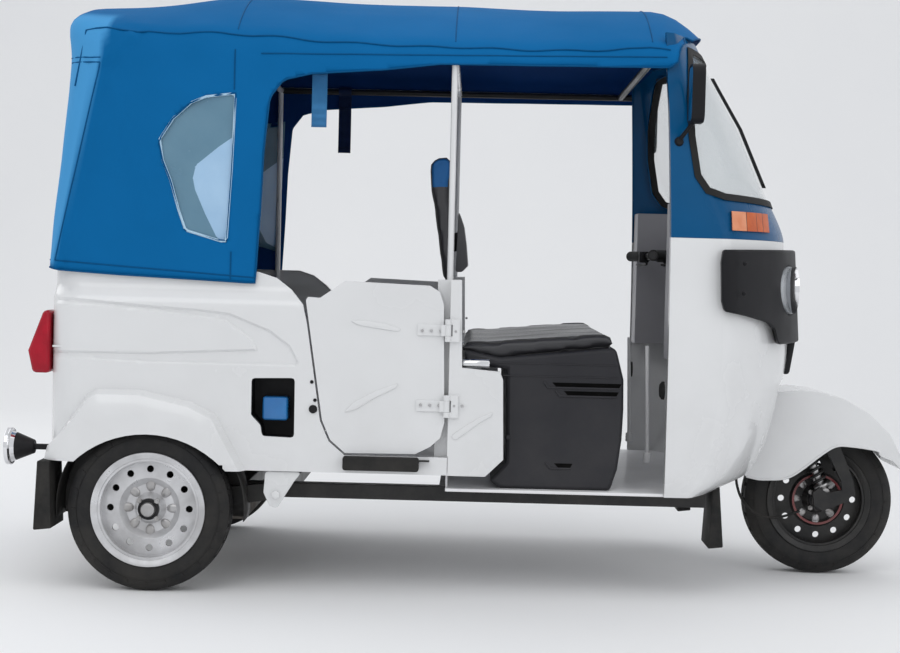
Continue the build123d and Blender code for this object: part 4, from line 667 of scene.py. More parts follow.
# Finish: slot, colour, second colour, patches, dust, roughness, its spread, relief, its sizes, strength and depth,
# and the other values of its shader
FINISHES = {
    "White enamel": ("white_paint", None, None, 2.2, 0.1, 0.2, 0.08, "Grain", (14, 420, 0.25), 0.05, 0.002,
        {"coat": 0.6}),
    "Blue enamel": ("blue_paint", None, None, 2.5, 0.02, 0.22, 0.08, "Grain", (14, 420, 0.25), 0.05, 0.002,
        {"specular": 0.12}),
    "Black enamel": ("black_paint", (0.01, 0.01, 0.011), (0.016, 0.016, 0.016), 5, 0.1, 0.32, 0.16, "Grain",
        (60, 700, 0.5), 0.12, 0.0004, {"specular": 0.35}),
    "Grey enamel": ("grey_paint", (0.84, 0.84, 0.85), (0.78, 0.78, 0.79), 3, 0.12, 0.4, 0.12, "Grain", (30, 600, 0.4),
        0.08, 0.001, {"coat": 0.15}),
    "Wheel silver": ("silver_paint", None, None, 9, 0.15, 0.26, 0.14, "Grain", (80, 900, 0.6), 0.12, 0.0004,
        {"metallic": 0.55, "coat": 0.25}),
    "Bare steel": ("white_paint", (0.52, 0.52, 0.53), (0.4, 0.39, 0.385), 12, 0.45, 0.28, 0.2, "Grain",
        (120, 1400, 0.6), 0.16, 0.0004, {"metallic": 1}),
    "Chrome": ("black_paint", (0.78, 0.79, 0.8), (0.7, 0.7, 0.71), 6, 0.08, 0.06, 0.06, "Grain", (40, 900, 0.3), 0.03,
        0.0004, {"metallic": 1}),
    "Cast metal": ("cast", (0.12, 0.12, 0.12), (0.075, 0.07, 0.065), 8, 0.8, 0.55, 0.2, "Grain", (160, 620, 0.6), 0.5,
        0.0012, {"metallic": 0.6}),
    # the lighter colour among Canvas's other values is a painted highlight on the soft top's rounded rear corners
    "Canvas": ("canvas", None, None, 1.6, 0.02, 0.6, 0.12, "Weave", (150,), 0.22, 0.0005,
        {"painted_highlight": (0.075, 0.335, 0.66), "specular": 0.08}),
    "Canvas binding": ("canvas", None, None, 6, 0.02, 0.6, 0.1, "Weave", (260,), 0.4, 0.0004, {"specular": 0.1}),
    # inner side of the canvas: the same blue, darker as painted shade
    "Lining": (None, None, None, 2, 0.03, 0.68, 0.12, "Weave", (170,), 0.25, 0.0004, {"specular": 0.15}),
    "Webbing light": ("strap_web", (0.035, 0.21, 0.46), (0.02, 0.15, 0.36), 8, 0.1, 0.6, 0.15, "Weave", (300,), 0.7,
        0.0008, {}),
    "Webbing dark": ("strap_web", (0.002, 0.022, 0.11), (0.001, 0.016, 0.08), 8, 0.1, 0.6, 0.15, "Weave", (300,), 0.7,
        0.0008, {}),
    "Seat vinyl": ("seat_vinyl", None, None, 4, 0.06, 0.3, 0.12, "Leather", (330,), 0.35, 0.0006, {}),
    "Seat piping": ("seat_vinyl", None, None, 9, 0.12, 0.38, 0.1, "Leather", (500,), 0.25, 0.0004, {}),
    "Black plastic": ("black_plastic", (0.007, 0.007, 0.009), (0.011, 0.011, 0.013), 4, 0.08, 0.42, 0.14, "Grain",
        (220, 1100, 0.6), 0.3, 0.0004, {"specular": 0.2}),
    "Slot shadow": ("black_plastic", (0.003, 0.003, 0.003), (0.005, 0.005, 0.005), 9, 0.02, 0.8, 0.1, "Grain",
        (200, 900, 0.5), 0.1, 0.0004, {"specular": 0.02}),
    "Seat base plastic": ("black_plastic", (0.017, 0.017, 0.021), (0.025, 0.025, 0.029), 2.6, 0.06, 0.38, 0.14,
        "Grain", (200, 1000, 0.6), 0.3, 0.0004, {"specular": 0.3}),
    "Grey plastic": ("grey_plastic", (0.34, 0.335, 0.355), (0.3, 0.295, 0.315), 3, 0.08, 0.46, 0.12, "Grain",
        (260, 1300, 0.6), 0.35, 0.0004, {}),
    "Grey lining": ("grey_paint", (0.86, 0.86, 0.87), (0.8, 0.8, 0.81), 2.4, 0.1, 0.44, 0.12, "Grain",
        (200, 1000, 0.5), 0.2, 0.0004, {}),
    "Blue plastic": ("blue_plastic", (0.02, 0.23, 0.6), (0.015, 0.18, 0.5), 12, 0.15, 0.25, 0.1, "Grain",
        (120, 900, 0.4), 0.12, 0.0004, {"coat": 0.3}),
    "Red stripe": ("black_paint", (0.2, 0.008, 0.014), (0.13, 0.006, 0.01), 14, 0.3, 0.32, 0.14, "Grain",
        (80, 800, 0.4), 0.1, 0.0004, {"coat": 0.3}),
    "Rubber": ("rubber", (0.01, 0.01, 0.01), (0.017, 0.017, 0.017), 7, 0.12, 0.6, 0.18, "Grain", (90, 900, 0.7), 0.45,
        0.0006, {"specular": 0.25}),
    "Tread rubber": ("tyre", (0.007, 0.007, 0.008), (0.013, 0.013, 0.013), 9, 0.08, 0.52, 0.2, "Grain",
        (120, 1200, 0.6), 0.35, 0.0005, {"specular": 0.3}),
    "Amber lens": ("amber", (0.58, 0.105, 0.006), (0.45, 0.07, 0.004), 20, 0.02, 0.16, 0.08, "Grain", (160, 700, 0.3),
        0.3, 0.0012, {"specular": 0.3}),
    "Pale lens": (None, (0.74, 0.3, 0.16), (0.66, 0.22, 0.1), 20, 0.02, 0.14, 0.08, "Grain", (160, 700, 0.3), 0.3,
        0.0012, {"specular": 0.3}),
    "Red lens": ("red_lens", (0.46, 0.004, 0.022), (0.32, 0.003, 0.016), 14, 0.02, 0.16, 0.08, "Grain",
        (160, 700, 0.3), 0.3, 0.0012, {"specular": 0.3}),
    "Reflector": ("clear_lens", (0.82, 0.82, 0.84), (0.74, 0.74, 0.76), 10, 0.05, 0.1, 0.05, "Grain", (90, 500, 0.3),
        0.1, 0.0004, {"metallic": 1}),
    "Mirror": ("mirror", (0.86, 0.88, 0.9), (0.82, 0.84, 0.86), 5, 0.05, 0.03, 0.03, "Grain", (3, 60, 0.1), 0.01,
        0.0004, {"metallic": 1}),
    "Dial": ("black_plastic", (0.5, 0.5, 0.48), (0.43, 0.43, 0.41), 40, 0.05, 0.35, 0.1, "Grain", (80, 900, 0.5), 0.1,
        0.0004, {}),
    "Clear vinyl": ("clear_film", (0.15, 0.29, 0.39), (0.12, 0.25, 0.35), 5, 0.04, 0.16, 0.12, "Grain",
        (11, 260, 0.12), 0.35, 0.006, {"alpha": 0.86}),
    # paler vinyl: painted light of the backdrop seen through the far window
    "Sky vinyl": (None, (0.46, 0.68, 0.9), (0.38, 0.6, 0.84), 5, 0.08, 0.14, 0.12, "Grain", (11, 260, 0.12), 0.35,
        0.006, {"alpha": 0.78}),
    "Cover cloth": (None, (0.004, 0.115, 0.34), (0.003, 0.09, 0.28), 8, 0.05, 0.6, 0.12, "Weave", (260,), 0.4, 0.0004,
        {}),
    "Window welt": ("clear_film", (0.42, 0.6, 0.74), (0.34, 0.52, 0.68), 8, 0.1, 0.3, 0.1, "Grain", (60, 600, 0.3),
        0.1, 0.0004, {}),
    "Glass": ("glass", (0.62, 0.7, 0.72), (0.56, 0.65, 0.68), 4, 0.06, 0.03, 0.04, "Grain", (2, 90, 0.1), 0.01,
        0.0004, {"alpha": 0.16, "specular": 0.7}),
    "Clear lens": ("clear_lens", (0.8, 0.84, 0.88), (0.74, 0.79, 0.84), 8, 0.06, 0.05, 0.05, "Grain", (60, 500, 0.2),
        0.12, 0.001, {"alpha": 0.34, "specular": 0.8}),
    "Floor": (None, (0.9, 0.9, 0.9), (0.885, 0.885, 0.89), 0.8, 0, 0.75, 0.1, "Grain", (4, 60, 0.3), 0.02, 0.0004,
        {}),
}


def times(colour, factor):
    """A colour made darker or brighter."""
    return tuple(min(0.9, value * factor) for value in colour)


def build_materials(body, top, seats, wheels):
    """Every material of the vehicle and its backdrop."""
    for make in (wear_group, grain_group, weave_group, leather_group):
        make()
    chosen = {
        "White enamel": (body.white, 1.0, 0.95), "Blue enamel": (body.blue, 0.72, 0.612),
        "Wheel silver": (wheels.silver, 1.35, 1.0), "Canvas": (top.canvas, 1.0, 0.88),
        "Canvas binding": (top.canvas, 0.66, 0.56), "Lining": (top.lining, 1.0, 0.75),
        "Seat vinyl": (seats.vinyl, 1.0, 0.7), "Seat piping": (seats.vinyl, 0.5, 0.4),
    }
    for name, (_, colour, second, *values) in FINISHES.items():
        if name in chosen:
            tint, *factors = chosen[name]
            colour, second = (times(tint, factor) for factor in factors)
        surface(name, colour, second, *values)


# ---- soft top
def wall_half(z):
    """Half width of the soft top's side at a height."""
    return TOP_HALF_W + (HEM_HALF_W - TOP_HALF_W) * max(0.0, min(1.0, (1.6 - z) / 0.72))


def nose_x(y):
    """X of the soft top's front edge at a place across."""
    half, side, tip = TOP_HALF_W, 0.572, TOP_NOSE_X
    rise = tip - side
    radius = (half * half + rise * rise) / (2 * rise)
    return tip - radius + math.sqrt(max(0.0, radius * radius - y * y))


def hem_height(x):
    """Height of the lower edge of the closed rear part."""
    return straight(metres(((-1300, 927), (-1228, 926), (-932, 907), (-560, 888), (700, 888))), x)[0]


def roof_height(x, y, front, sag):
    """Height of the roof's outer face before its rim is rounded; front is the front edge's x there."""
    shoulder_w, shoulder_z, crown_z = eased(TOP_ROWS, x + (TOP_NOSE_X - front) * step(0.3, 0.57, x))
    rise = crown_z - shoulder_z
    radius = (shoulder_w**2 + rise**2) / (2 * rise)
    height = crown_z - radius + math.sqrt(max(0.0, radius * radius - min(abs(y), shoulder_w) ** 2))
    for a, b in zip(TOP_BOWS, TOP_BOWS[1:]):
        if a < x < b:
            height -= sag * math.sin(math.pi * (x - a) / (b - a)) ** 2
    return height


def canvas_relief(point):
    """How far wrinkles and folds move the canvas along its normal."""
    x, y, z = point
    wave = noise.noise(Vector((x * 2.6, y * 2.6, z * 1.5))) * 0.0045
    ripple = noise.noise(Vector((x * 9 + z * 5, y * 7, z * 3 + 4.0))) * 0.0016
    lift = wave + ripple
    side = abs(y) > 0.5
    if side and x < -0.55:
        for start, end, depth in CANVAS_FOLDS:
            far = distance([start, end], x, z, closed=False)
            lift += depth * (math.exp(-(far / 0.016) ** 2) - 0.9 * math.exp(-((far - 0.026) / 0.014) ** 2))
    if side and z > 1.3:
        lift += 0.0015 * math.sin(x * 31 + z * 12) * step(1.35, 1.55, z)
    return lift * (0.35 if z > 1.7 else 1.0)


def top_sheet(settings):
    """The roof with the sides and back that hang from its rim, still smooth and closed."""
    cell, rim = settings.cell * 0.8, 0.046
    back_x, corner = eased(BACK_ROWS, 1.6)
    places = [("corner", math.radians(a), back_x + corner * (1 - math.cos(math.radians(a))))
            for a in (0, 13, 26, 38, 50, 62, 75, 90)]
    straight_from = back_x + corner
    count = int((NOSE_FROM_X - straight_from) / cell)
    places += [("side", 0.0, straight_from + (NOSE_FROM_X - straight_from) * i / count) for i in range(1, count + 1)]
    shares = [i / 10 for i in range(1, 10)] + [0.94, 0.97, 0.985, 1.0]
    places += [("nose", s, NOSE_FROM_X + s * 0.272) for s in shares]
    rims = (0.0, 0.004, 0.01, 0.018, 0.028, 0.04)
    middle = TOP_HALF_W - 0.055
    across = [-(TOP_HALF_W - d) / TOP_HALF_W for d in rims]
    across += [(-middle + 2 * middle * i / 44) / TOP_HALF_W for i in range(45)]
    across += [(TOP_HALF_W - d) / TOP_HALF_W for d in reversed(rims)]
    bm, order = ordered_grid(len(places), len(across))
    params = {}
    for i, (kind, value, x) in enumerate(places):
        half = TOP_HALF_W - (corner * (1 - math.sin(value)) if kind == "corner" else 0.0)
        for j, share in enumerate(across):
            vert = order[i * len(across) + j]
            y = share * half
            front = nose_x(y)
            place_x = NOSE_FROM_X + value * (front - NOSE_FROM_X) if kind == "nose" else x
            reach_x, reach_y = back_x + corner - place_x, abs(y) - (TOP_HALF_W - corner)
            if reach_x > 0 and reach_y > 0:
                depth = corner - math.hypot(reach_x, reach_y)
            else:
                depth = min(TOP_HALF_W - abs(y), place_x - back_x)
            depth = max(0.0, min(rim, depth))
            z = roof_height(place_x, y, front, settings.sag) - rim + math.sqrt(rim**2 - (rim - depth) ** 2)
            vert.co = (place_x, y, z)
            params[vert] = (kind, value, place_x, share)
    last = len(places) - 1
    ring = [order[i * len(across)] for i in range(last, -1, -1)]
    ring += [order[j] for j in range(1, len(across) - 1)]
    ring += [order[i * len(across) + len(across) - 1] for i in range(last + 1)]
    rows = 34
    start = [(v.co.x, v.co.z, params[v], 1 if v.co.y > 0 else -1) for v in ring]
    for k in range(1, rows + 1):
        edges = [bm.edges.get(pair) for pair in zip(ring, ring[1:])]
        made = bmesh.ops.extrude_edge_only(bm, edges=edges)["geom"]
        ring = sorted_like(ring, vertices(made))
        for vert, (x, z, (kind, value, _, share), sign) in zip(ring, start):
            low = hem_height(x)
            height = z + (low - z) * k / rows
            half = wall_half(height)
            rear, radius = eased(BACK_ROWS, height)
            if kind == "corner" and value == 0.0:
                vert.co = (rear, share * (half - radius), height)
            elif kind == "corner":
                vert.co = (rear + radius * (1 - math.cos(value)), sign * (half - radius * (1 - math.sin(value))),
                        height)
            else:
                shift = (rear + radius - straight_from) * (1 - step(0.0, 0.5, x - straight_from))
                vert.co = (x + shift, sign * half, height)
    bmesh.ops.recalc_face_normals(bm, faces=bm.faces)
    top_face = max(bm.faces, key=lambda f: f.calc_center_median().z)
    if top_face.normal.z < 0:
        bmesh.ops.reverse_faces(bm, faces=bm.faces)
    bm.normal_update()
    return bm


def cut_top_openings(bm):
    """Cuts the side openings and the windows out of the soft top."""
    for sign in BOTH:
        edge = HOOD_EDGE[sign]
        opening = [(edge - 0.02, 0.8), *((edge + dx, z) for dx, z in SIDE_OPENING),
                *metres(((545, 1535), (592, 1560), (600, 1640), (900, 1640), (900, 800)))]
        cut_outline(bm, opening, lambda c, s=sign: c.y * s > 0.42)
        cut_outline(bm, WINDOW_EDGE, lambda c, s=sign: c.y * s > 0.42)
    half, tall, middle = REAR_WINDOW[0] / 2, REAR_WINDOW[1] / 2, REAR_WINDOW[2]
    pane = [(-half, middle - tall), (half, middle - tall), (half, middle + tall), (-half, middle + tall)]
    cut_outline(bm, rounded(pane, 0.045, 4), lambda c: c.x < -1.0 and abs(c.y) < 0.42, **LENGTHWISE)
    clean_slivers(bm, 0.0012)


def paint_rear_corner_highlight(bm):
    """Marks the bleached strip along the soft top's rear edges."""
    highlight_layer = bm.verts.layers.float.new("painted_highlight")
    for vert in bm.verts:
        x, y, z = vert.co
        if abs(y) > 0.4 and x < -1.03 and z > 0.93:
            line = -1.203 + (z - 0.939) * 0.2049
            vert[highlight_layer] = (1 - step(line - 0.012, line + 0.004, x)) * 0.85 * step(0.4, 0.5, abs(y))


def build_soft_top(settings):
    """The roof, sides and back as one sheet, with its openings cut, its edges bound and its seams piped."""
    bm = top_sheet(settings)
    moves = [v.normal * canvas_relief(v.co) for v in bm.verts]
    for vert, move in zip(bm.verts, moves):
        vert.co += move
    cut_top_openings(bm)
    edges = binding_loops(bm)
    # painted highlight down the rounded rear corners
    paint_rear_corner_highlight(bm)
    sheet = finish_piece(bm, "soft_top", ["Canvas", "Lining"], replaces=("canopy",), crease=60, turn=False)
    solid = thicken(sheet, settings.thickness)
    # the inner faces take the darker canvas, painted shade of the inside
    solid.material_offset = 1
    bm = bmesh.new()
    for path, closed in edges:
        add_tube(bm, path, 0.0028, 6, closed)
    binding = finish_piece(bm, "soft_top_binding", "Canvas binding", crease=80)
    seams = build_seams(sheet)
    return sheet


def sorted_like(ring, fresh):
    """The fresh vertices in the order of the ring that they were extruded from."""
    left = {tuple(round(c, 6) for c in vert.co): vert for vert in fresh}
    return [left[tuple(round(c, 6) for c in vert.co)] for vert in ring]


def binding_loops(bm):
    """Paths along the sheet's open edges, as (points, closed)."""
    open_edges = dict.fromkeys(e for e in bm.edges if e.is_boundary)
    found = []
    while open_edges:
        edge, _ = open_edges.popitem()
        path = [edge.verts[0], edge.verts[1]]
        for _ in range(2):
            while True:
                ahead = [e for e in path[-1].link_edges if e in open_edges]
                if not ahead:
                    break
                open_edges.pop(ahead[0])
                path.append(ahead[0].other_vert(path[-1]))
            path.reverse()
        closed = path[0] == path[-1] and len(path) > 3
        points = [v.co.copy() for v in (path[:-1] if closed else path)]
        slim = [points[0]]
        for point in points[1:]:
            if (point - slim[-1]).length > 0.012:
                slim.append(point)
        if len(slim) > 3:
            found.append((slim, closed))
    return found


def on_sheet(tree, points, towards, lift=0.0):
    """Points moved along a direction onto a sheet's outer face; places with no sheet are left out."""
    hits = []
    for point in points:
        start = Vector(point) - Vector(towards) * 0.3
        spot, normal, _, _ = tree.ray_cast(start, Vector(towards), 0.7)
        if spot is not None:
            hits.append(spot + normal * lift * (1 if normal.dot(Vector(towards)) < 0 else -1))
    return hits


def line_points(a, b, gap):
    """Evenly spread points from a to b."""
    a, b = Vector(a), Vector(b)
    count = max(2, int((b - a).length / gap))
    return [a.lerp(b, i / count) for i in range(count + 1)]


def build_seams(sheet):
    """Piped and stitched seams of the soft top."""
    tree = BVHTree.FromObject(sheet, bpy.context.evaluated_depsgraph_get())
    bm = bmesh.new()
    for sign in BOTH:
        towards = (0, -sign, 0)
        y = 0.6 * sign
        runs = [[(-0.697, y, z) for z in (0.9, 0.98)], [(-0.697, y, z) for z in (1.445, 1.56)],
                [(-1.177, y, 1.516), (-1.085, y, 1.515)], [(-1.18, y, 1.53), (-1.085, y, 1.529)],
                [(-1.085, y, 1.515), (-1.203, y, 0.945)], [(-1.222, y, 0.945), (-0.627, y, 0.907)],
                [(-0.622, y, 1.55), (0.54, y, 1.565)]]
        for a, b in runs:
            points = on_sheet(tree, line_points(a, b, 0.02), towards, 0.0006)
            if len(points) > 2:
                add_tube(bm, points, 0.0019, 6)
        # shoulder seam between the side and the roof
        rim = [(-1.16 + 0.03 * i, 0.545 * sign, 1.6) for i in range(58)]
        add_tube(bm, on_sheet(tree, rim, (0, 0, -1), 0.001), 0.0026, 6)
    for x in TOP_BOWS[1:]:
        hits = []
        for i in range(49):
            y = -0.53 + 1.06 * i / 48
            spot = tree.ray_cast(Vector((x, y, 1.95)), Vector((0, 0, -1)), 0.6)[0]
            if spot is not None:
                hits.append(spot + Vector((0, 0, 0.0004)))
        add_tube(bm, hits, 0.0018, 6)
    return finish_piece(bm, "soft_top_seams", "Canvas binding", crease=80)


def build_window_films():
    """Clear vinyl panes behind the soft top's windows, each with its welt."""
    films = []
    for name, sign in SIDES:
        bm = bmesh.new()
        bmesh.ops.create_grid(bm, x_segments=30, y_segments=44, size=0.5)
        for vert in bm.verts:
            x, z = -0.8 + vert.co.x * 0.27, 1.22 + vert.co.y * 0.48
            wave = 0.0035 * noise.noise(Vector((x * 9, z * 7, sign * 3.0))) + 0.0016 * math.sin(z * 40 + x * 25)
            vert.co = (x, sign * (wall_half(z) - 0.0045 + wave), z)
        pane = grown(WINDOW_EDGE, 0.013)
        cut_outline(bm, pane, lambda c: True, keep="inside")
        # this patch of the film gets the paler vinyl as painted light: the bright backdrop seen through the far
        # window
        patch = metres(((-682, 1322), (-740, 1280), (-804, 1227), (-812, 1190), (-805, 1156), (-775, 1088),
                (-740, 1020), (-600, 950), (-600, 1330)))
        cut_outline(bm, rounded(patch, 0.05, 3), lambda c: True, keep=None)
        for face in bm.faces:
            centre = face.calc_center_median()
            face.material_index = int(inside(patch, centre.x, centre.z))
        if sign > 0:
            bmesh.ops.reverse_faces(bm, faces=bm.faces)
        films.append(finish_piece(bm, f"window_film_{name}", ["Clear vinyl", "Sky vinyl"], replaces=("window_films",)
                if sign < 0 else ()))
    bm = bmesh.new()
    bmesh.ops.create_grid(bm, x_segments=24, y_segments=12, size=0.5)
    for vert in bm.verts:
        y, z = vert.co.x * (REAR_WINDOW[0] + 0.03), REAR_WINDOW[2] + vert.co.y * (REAR_WINDOW[1] + 0.03)
        rear = eased(BACK_ROWS, z)[0]
        vert.co = (rear + 0.0045 + 0.002 * noise.noise(Vector((y * 8, z * 8, 1.0))), y, z)
    films.append(finish_piece(bm, "window_film_rear", "Clear vinyl"))
    for film in films:
        thicken(film, 0.0008)
    bm = bmesh.new()
    for sign in BOTH:
        outline = rounded(WINDOW_EDGE, 0.012, 2)
        path = [(x, sign * (wall_half(z) + 0.001), z) for x, z in outline]
        slim = [path[0]]
        for point in path[1:]:
            if (Vector(point) - Vector(slim[-1])).length > 0.01:
                slim.append(point)
        add_tube(bm, slim, 0.004, 6, closed=True)
    half, tall = REAR_WINDOW[0] / 2, REAR_WINDOW[1] / 2
    pane = rounded([(-half, -tall), (half, -tall), (half, tall), (-half, tall)], 0.045, 4)
    add_tube(bm, [(eased(BACK_ROWS, REAR_WINDOW[2] + p[1])[0] - 0.001, p[0], REAR_WINDOW[2] + p[1]) for p in pane],
            0.0035, 6, closed=True)
    finish_piece(bm, "window_welts", "Window welt", crease=80)


def grown(outline, out):
    """A closed outline moved outwards by a distance, or inwards if it is negative."""
    points = [Vector(p) for p in outline]
    area = sum(a.x * b.y - b.x * a.y for a, b in zip(points, points[1:] + points[:1]))
    turn = 1 if area > 0 else -1
    result = []
    for before, at, after in zip(points[-1:] + points[:-1], points, points[1:] + points[:1]):
        first, second = (at - before).normalized(), (after - at).normalized()
        n1, n2 = Vector((first.y, -first.x)) * turn, Vector((second.y, -second.x)) * turn
        middle = (n1 + n2).normalized()
        result.append(at + middle * out / max(0.35, middle.dot(n1)))
    return result


# Corners of a strap, as shares of its half width and half thickness
STRAP_SECTION = ((-1, -0.4), (-0.94, -1), (0.94, -1), (1, -0.4), (1, 0.4), (0.94, 1), (-0.94, 1), (-1, 0.4))


def strap(bm, points, width, thick, across):
    """A flat band along points, with its ends closed."""
    across = Vector(across).normalized()
    rings = []
    for i, point in enumerate(points):
        point = Vector(point)
        ahead = Vector(points[min(i + 1, len(points) - 1)]) - Vector(points[max(i - 1, 0)])
        out = ahead.normalized().cross(across).normalized()
        corners = [point + across * width / 2 * a + out * thick / 2 * b for a, b in STRAP_SECTION]
        rings.append([bm.verts.new(c) for c in corners])
    for a, b in zip(rings, rings[1:]):
        edges = []
        for ring in (a, b):
            edges += [bm.edges.get(pair) or bm.edges.new(pair) for pair in zip(ring, ring[1:] + ring[:1])]
        bmesh.ops.bridge_loops(bm, edges=edges)
    for ring in (rings[0], rings[-1]):
        bmesh.ops.contextual_create(bm, geom=ring)


def build_hand_straps():
    """Woven straps that hang from the roof rails, one on each side of the passengers' doorway."""
    for name, sign, x, low, finish in (("right", -1, -0.455, 1.345, "Webbing light"),
            ("left", 1, -0.467, 1.342, "Webbing dark")):
        bm = bmesh.new()
        y = 0.538 * sign
        path = [(x, y + 0.004 * math.sin(t * 3), 1.552 - (1.552 - low) * t) for t in [i / 16 for i in range(17)]]
        strap(bm, path, 0.044, 0.003, (1, 0, 0))
        add_tube(bm, [(x - 0.022, y, 1.556), (x, y, 1.5575), (x + 0.022, y, 1.556)], 0.0155, 12)
        for row in (0.012, 0.02, 0.15, 0.158):
            add_tube(bm, [(x - 0.018, y - 0.002 * sign, low + row), (x + 0.018, y - 0.002 * sign, low + row)], 0.0022,
                    6)
        finish_piece(bm, f"hand_strap_{name}", finish, replaces=("hand_straps",) if sign < 0 else ())


# ---- body panels
def tub_half(z):
    """Half width of the tub at a height, leaning in above the waist to fit inside the soft top."""
    neck = HEM_HALF_W - 0.01
    return BODY_HALF_W + (neck - BODY_HALF_W) * step(0.828, 0.884, z)


def tub_lift(x, z, groove, flare):
    """How far pressings move the tub's side outwards."""
    rim = signed(BLISTER_RIM, x, z)
    core = signed(BLISTER, x, z)
    lift = -groove * step(0.0, 0.007, -rim) * step(0.0, 0.007, core) if rim < 0.01 else 0.0
    if z < 0.62:
        arch = signed(FLARE_EDGE, x, z)
        if arch < 0:
            lift += flare * (0.5 * step(0.0, 0.014, -arch) + 0.5 * (1 - (1 - min(1.0, -arch / 0.075)) ** 2))
    return lift


def build_tub(settings):
    """The rear tub's outer skin with its pressings, arches, lid opening and service recess."""
    radius = TUB_CORNER_R
    turns = [math.radians(a) for a in (0, 11, 22, 34, 45, 56, 68, 79, 90)]
    long_x = [TUB_REAR_X + radius + 0.0095 * i for i in range(1, 115)]
    long_x = [x for x in long_x if x < -0.06] + [-0.06]
    side = [("side", x) for x in reversed(long_x)] + [("corner", a) for a in reversed(turns)]
    back = [("back", -1 + 2 * i / 44) for i in range(1, 44)]
    columns = [(-1, *c) for c in side] + [(0, *c) for c in back] + [(1, *c) for c in reversed(side)]
    heights = [0.354 + (TUB_TOP_Z - 0.354) * i / 60 for i in range(61)]
    bm, order = ordered_grid(len(columns), len(heights))
    for i, (sign, kind, value) in enumerate(columns):
        for j, z in enumerate(heights):
            half = tub_half(z)
            if kind == "side":
                spot = (value, sign * half, z)
            elif kind == "corner":
                spot = (TUB_REAR_X + radius * (1 - math.cos(value)), sign * (half - radius * (1 - math.sin(value))),
                        z)
            else:
                spot = (TUB_REAR_X, value * (half - radius), z)
            order[i * len(heights) + j].co = spot
    for sign in BOTH:
        for outline in (BLISTER_RIM, BLISTER, grown(BLISTER_RIM, -0.007), grown(BLISTER, 0.007)):
            cut_outline(bm, outline, lambda c, s=sign: c.y * s > 0.55 and c.x > -1.16, keep=None)
        for inset in (0.0, -0.014):
            cut_outline(bm, grown(FLARE_EDGE, inset), lambda c, s=sign: c.y * s > 0.53 and c.z < 0.6, keep=None)
    for vert in bm.verts:
        x, y, z = vert.co
        if abs(y) > BODY_HALF_W - radius:
            turned = max(0.0, min(1.0, (x - TUB_REAR_X) / radius))
            lift = tub_lift(x, z, settings.groove, settings.flare) * step(0.0, 0.3, turned)
            out = Vector((0, 1, 0))
            if turned < 1:
                half = tub_half(z)
                out = Vector((x - TUB_REAR_X - radius, abs(y) - (half - radius), 0)).normalized()
            vert.co.x += lift * out.x
            vert.co.y += lift * out.y * (1 if y > 0 else -1)
    for sign in BOTH:
        near = lambda c, s=sign: c.y * s > 0.5
        cut_outline(bm, TUB_EDGE, near, keep="inside")
        cut_outline(bm, grown(DOOR_EDGE, 0.006), near)
        arch = [(ARCH_CENTRE[0] + (ARCH_R - 0.002) * math.cos(math.tau * i / 64),
                ARCH_CENTRE[1] + (ARCH_R - 0.002) * math.sin(math.tau * i / 64)) for i in range(64)]
        cut_outline(bm, arch, near)
        if sign < 0:
            cut_outline(bm, rounded(RECESS_EDGE, 0.01, 2), near)
    lid = [(-0.403, 0.437), (0.403, 0.437), (0.403, 0.693), (-0.403, 0.693)]
    cut_outline(bm, lid, lambda c: c.x < -1.15 and abs(c.y) < 0.5, **LENGTHWISE)
    low = [f for f in bm.faces if f.calc_center_median().z < 0.372 and f.calc_center_median().x < -0.7]
    bmesh.ops.delete(bm, geom=low, context="FACES")
    clean_slivers(bm, 0.001)
    # folded in towards the middle of the vehicle
    fold_rims(bm, lambda c: (0.014, 0, 0) if c.x < TUB_REAR_X + 0.03 else (0, -0.014 if c.y > 0 else 0.014, 0))
    skin = finish_piece(bm, "tub_skin", "White enamel", replaces=("rear_body",), crease=28)
    orient_outwards(skin)
    thicken(skin, settings.skin)
    return skin


def orient_outwards(piece):
    """Turns a sheet's faces so that most of its area looks away from the vehicle's middle."""
    mesh = piece.data
    total = sum(p.area * (p.normal.y * (1 if p.center.y > 0 else -1) + (p.normal.x * (1 if p.center.x > 0 else -1)))
            for p in mesh.polygons)
    if total < 0:
        mesh.flip_normals()


def build_tub_inside():
    """Deck and inner walls of the tub, and the knobs and screws on its sides."""
    bm, trim = bmesh.new(), bmesh.new()
    add_box(bm, (TUB_REAR_X + 0.014, -0.583, 0.694), (-0.69, 0.583, 0.7), 0.002)
    for sign in BOTH:
        side_box(bm, sign, (-1.13, -0.64), (0.583, 0.5855), (0.585, 0.826))
        knob = Vector((-0.449, sign * BODY_HALF_W, 0.535))
        add_rod(trim, knob, knob + Vector((0, sign * 0.006, 0)), 0.013, 0.011, 24, 0.002)
        for x, z in ((-0.454, 0.613), (-0.444, 0.561)):
            add_rod(trim, (x, sign * BODY_HALF_W, z), (x, sign * (BODY_HALF_W + 0.003), z), 0.0055, 0.005, 12, 0.001)
    finish_piece(trim, "tub_fasteners", "Black plastic")
    finish_piece(bm, "tub_deck", "White enamel")


def build_arch_liners():
    """Wheel arches inside the tub."""
    bm = bmesh.new()
    for sign in BOTH:
        inner, outer = [], []
        for i in range(41):
            a = math.radians(-12 + 204 * i / 40)
            x, z = REAR_AXLE_X + 0.272 * math.cos(a), AXLE_Z + 0.272 * math.sin(a)
            if z > 0.2:
                inner.append(bm.verts.new((x, sign * 0.478, z)))
                outer.append(bm.verts.new((x, sign * 0.588, z)))
        edges = [bm.edges.new(pair) for ring in (inner, outer) for pair in zip(ring, ring[1:])]
        bmesh.ops.bridge_loops(bm, edges=edges)
        bmesh.ops.contextual_create(bm, geom=inner)
    liner = finish_piece(bm, "wheel_arch_liners", "Black enamel")
    thicken(liner, 0.002, 0.0)


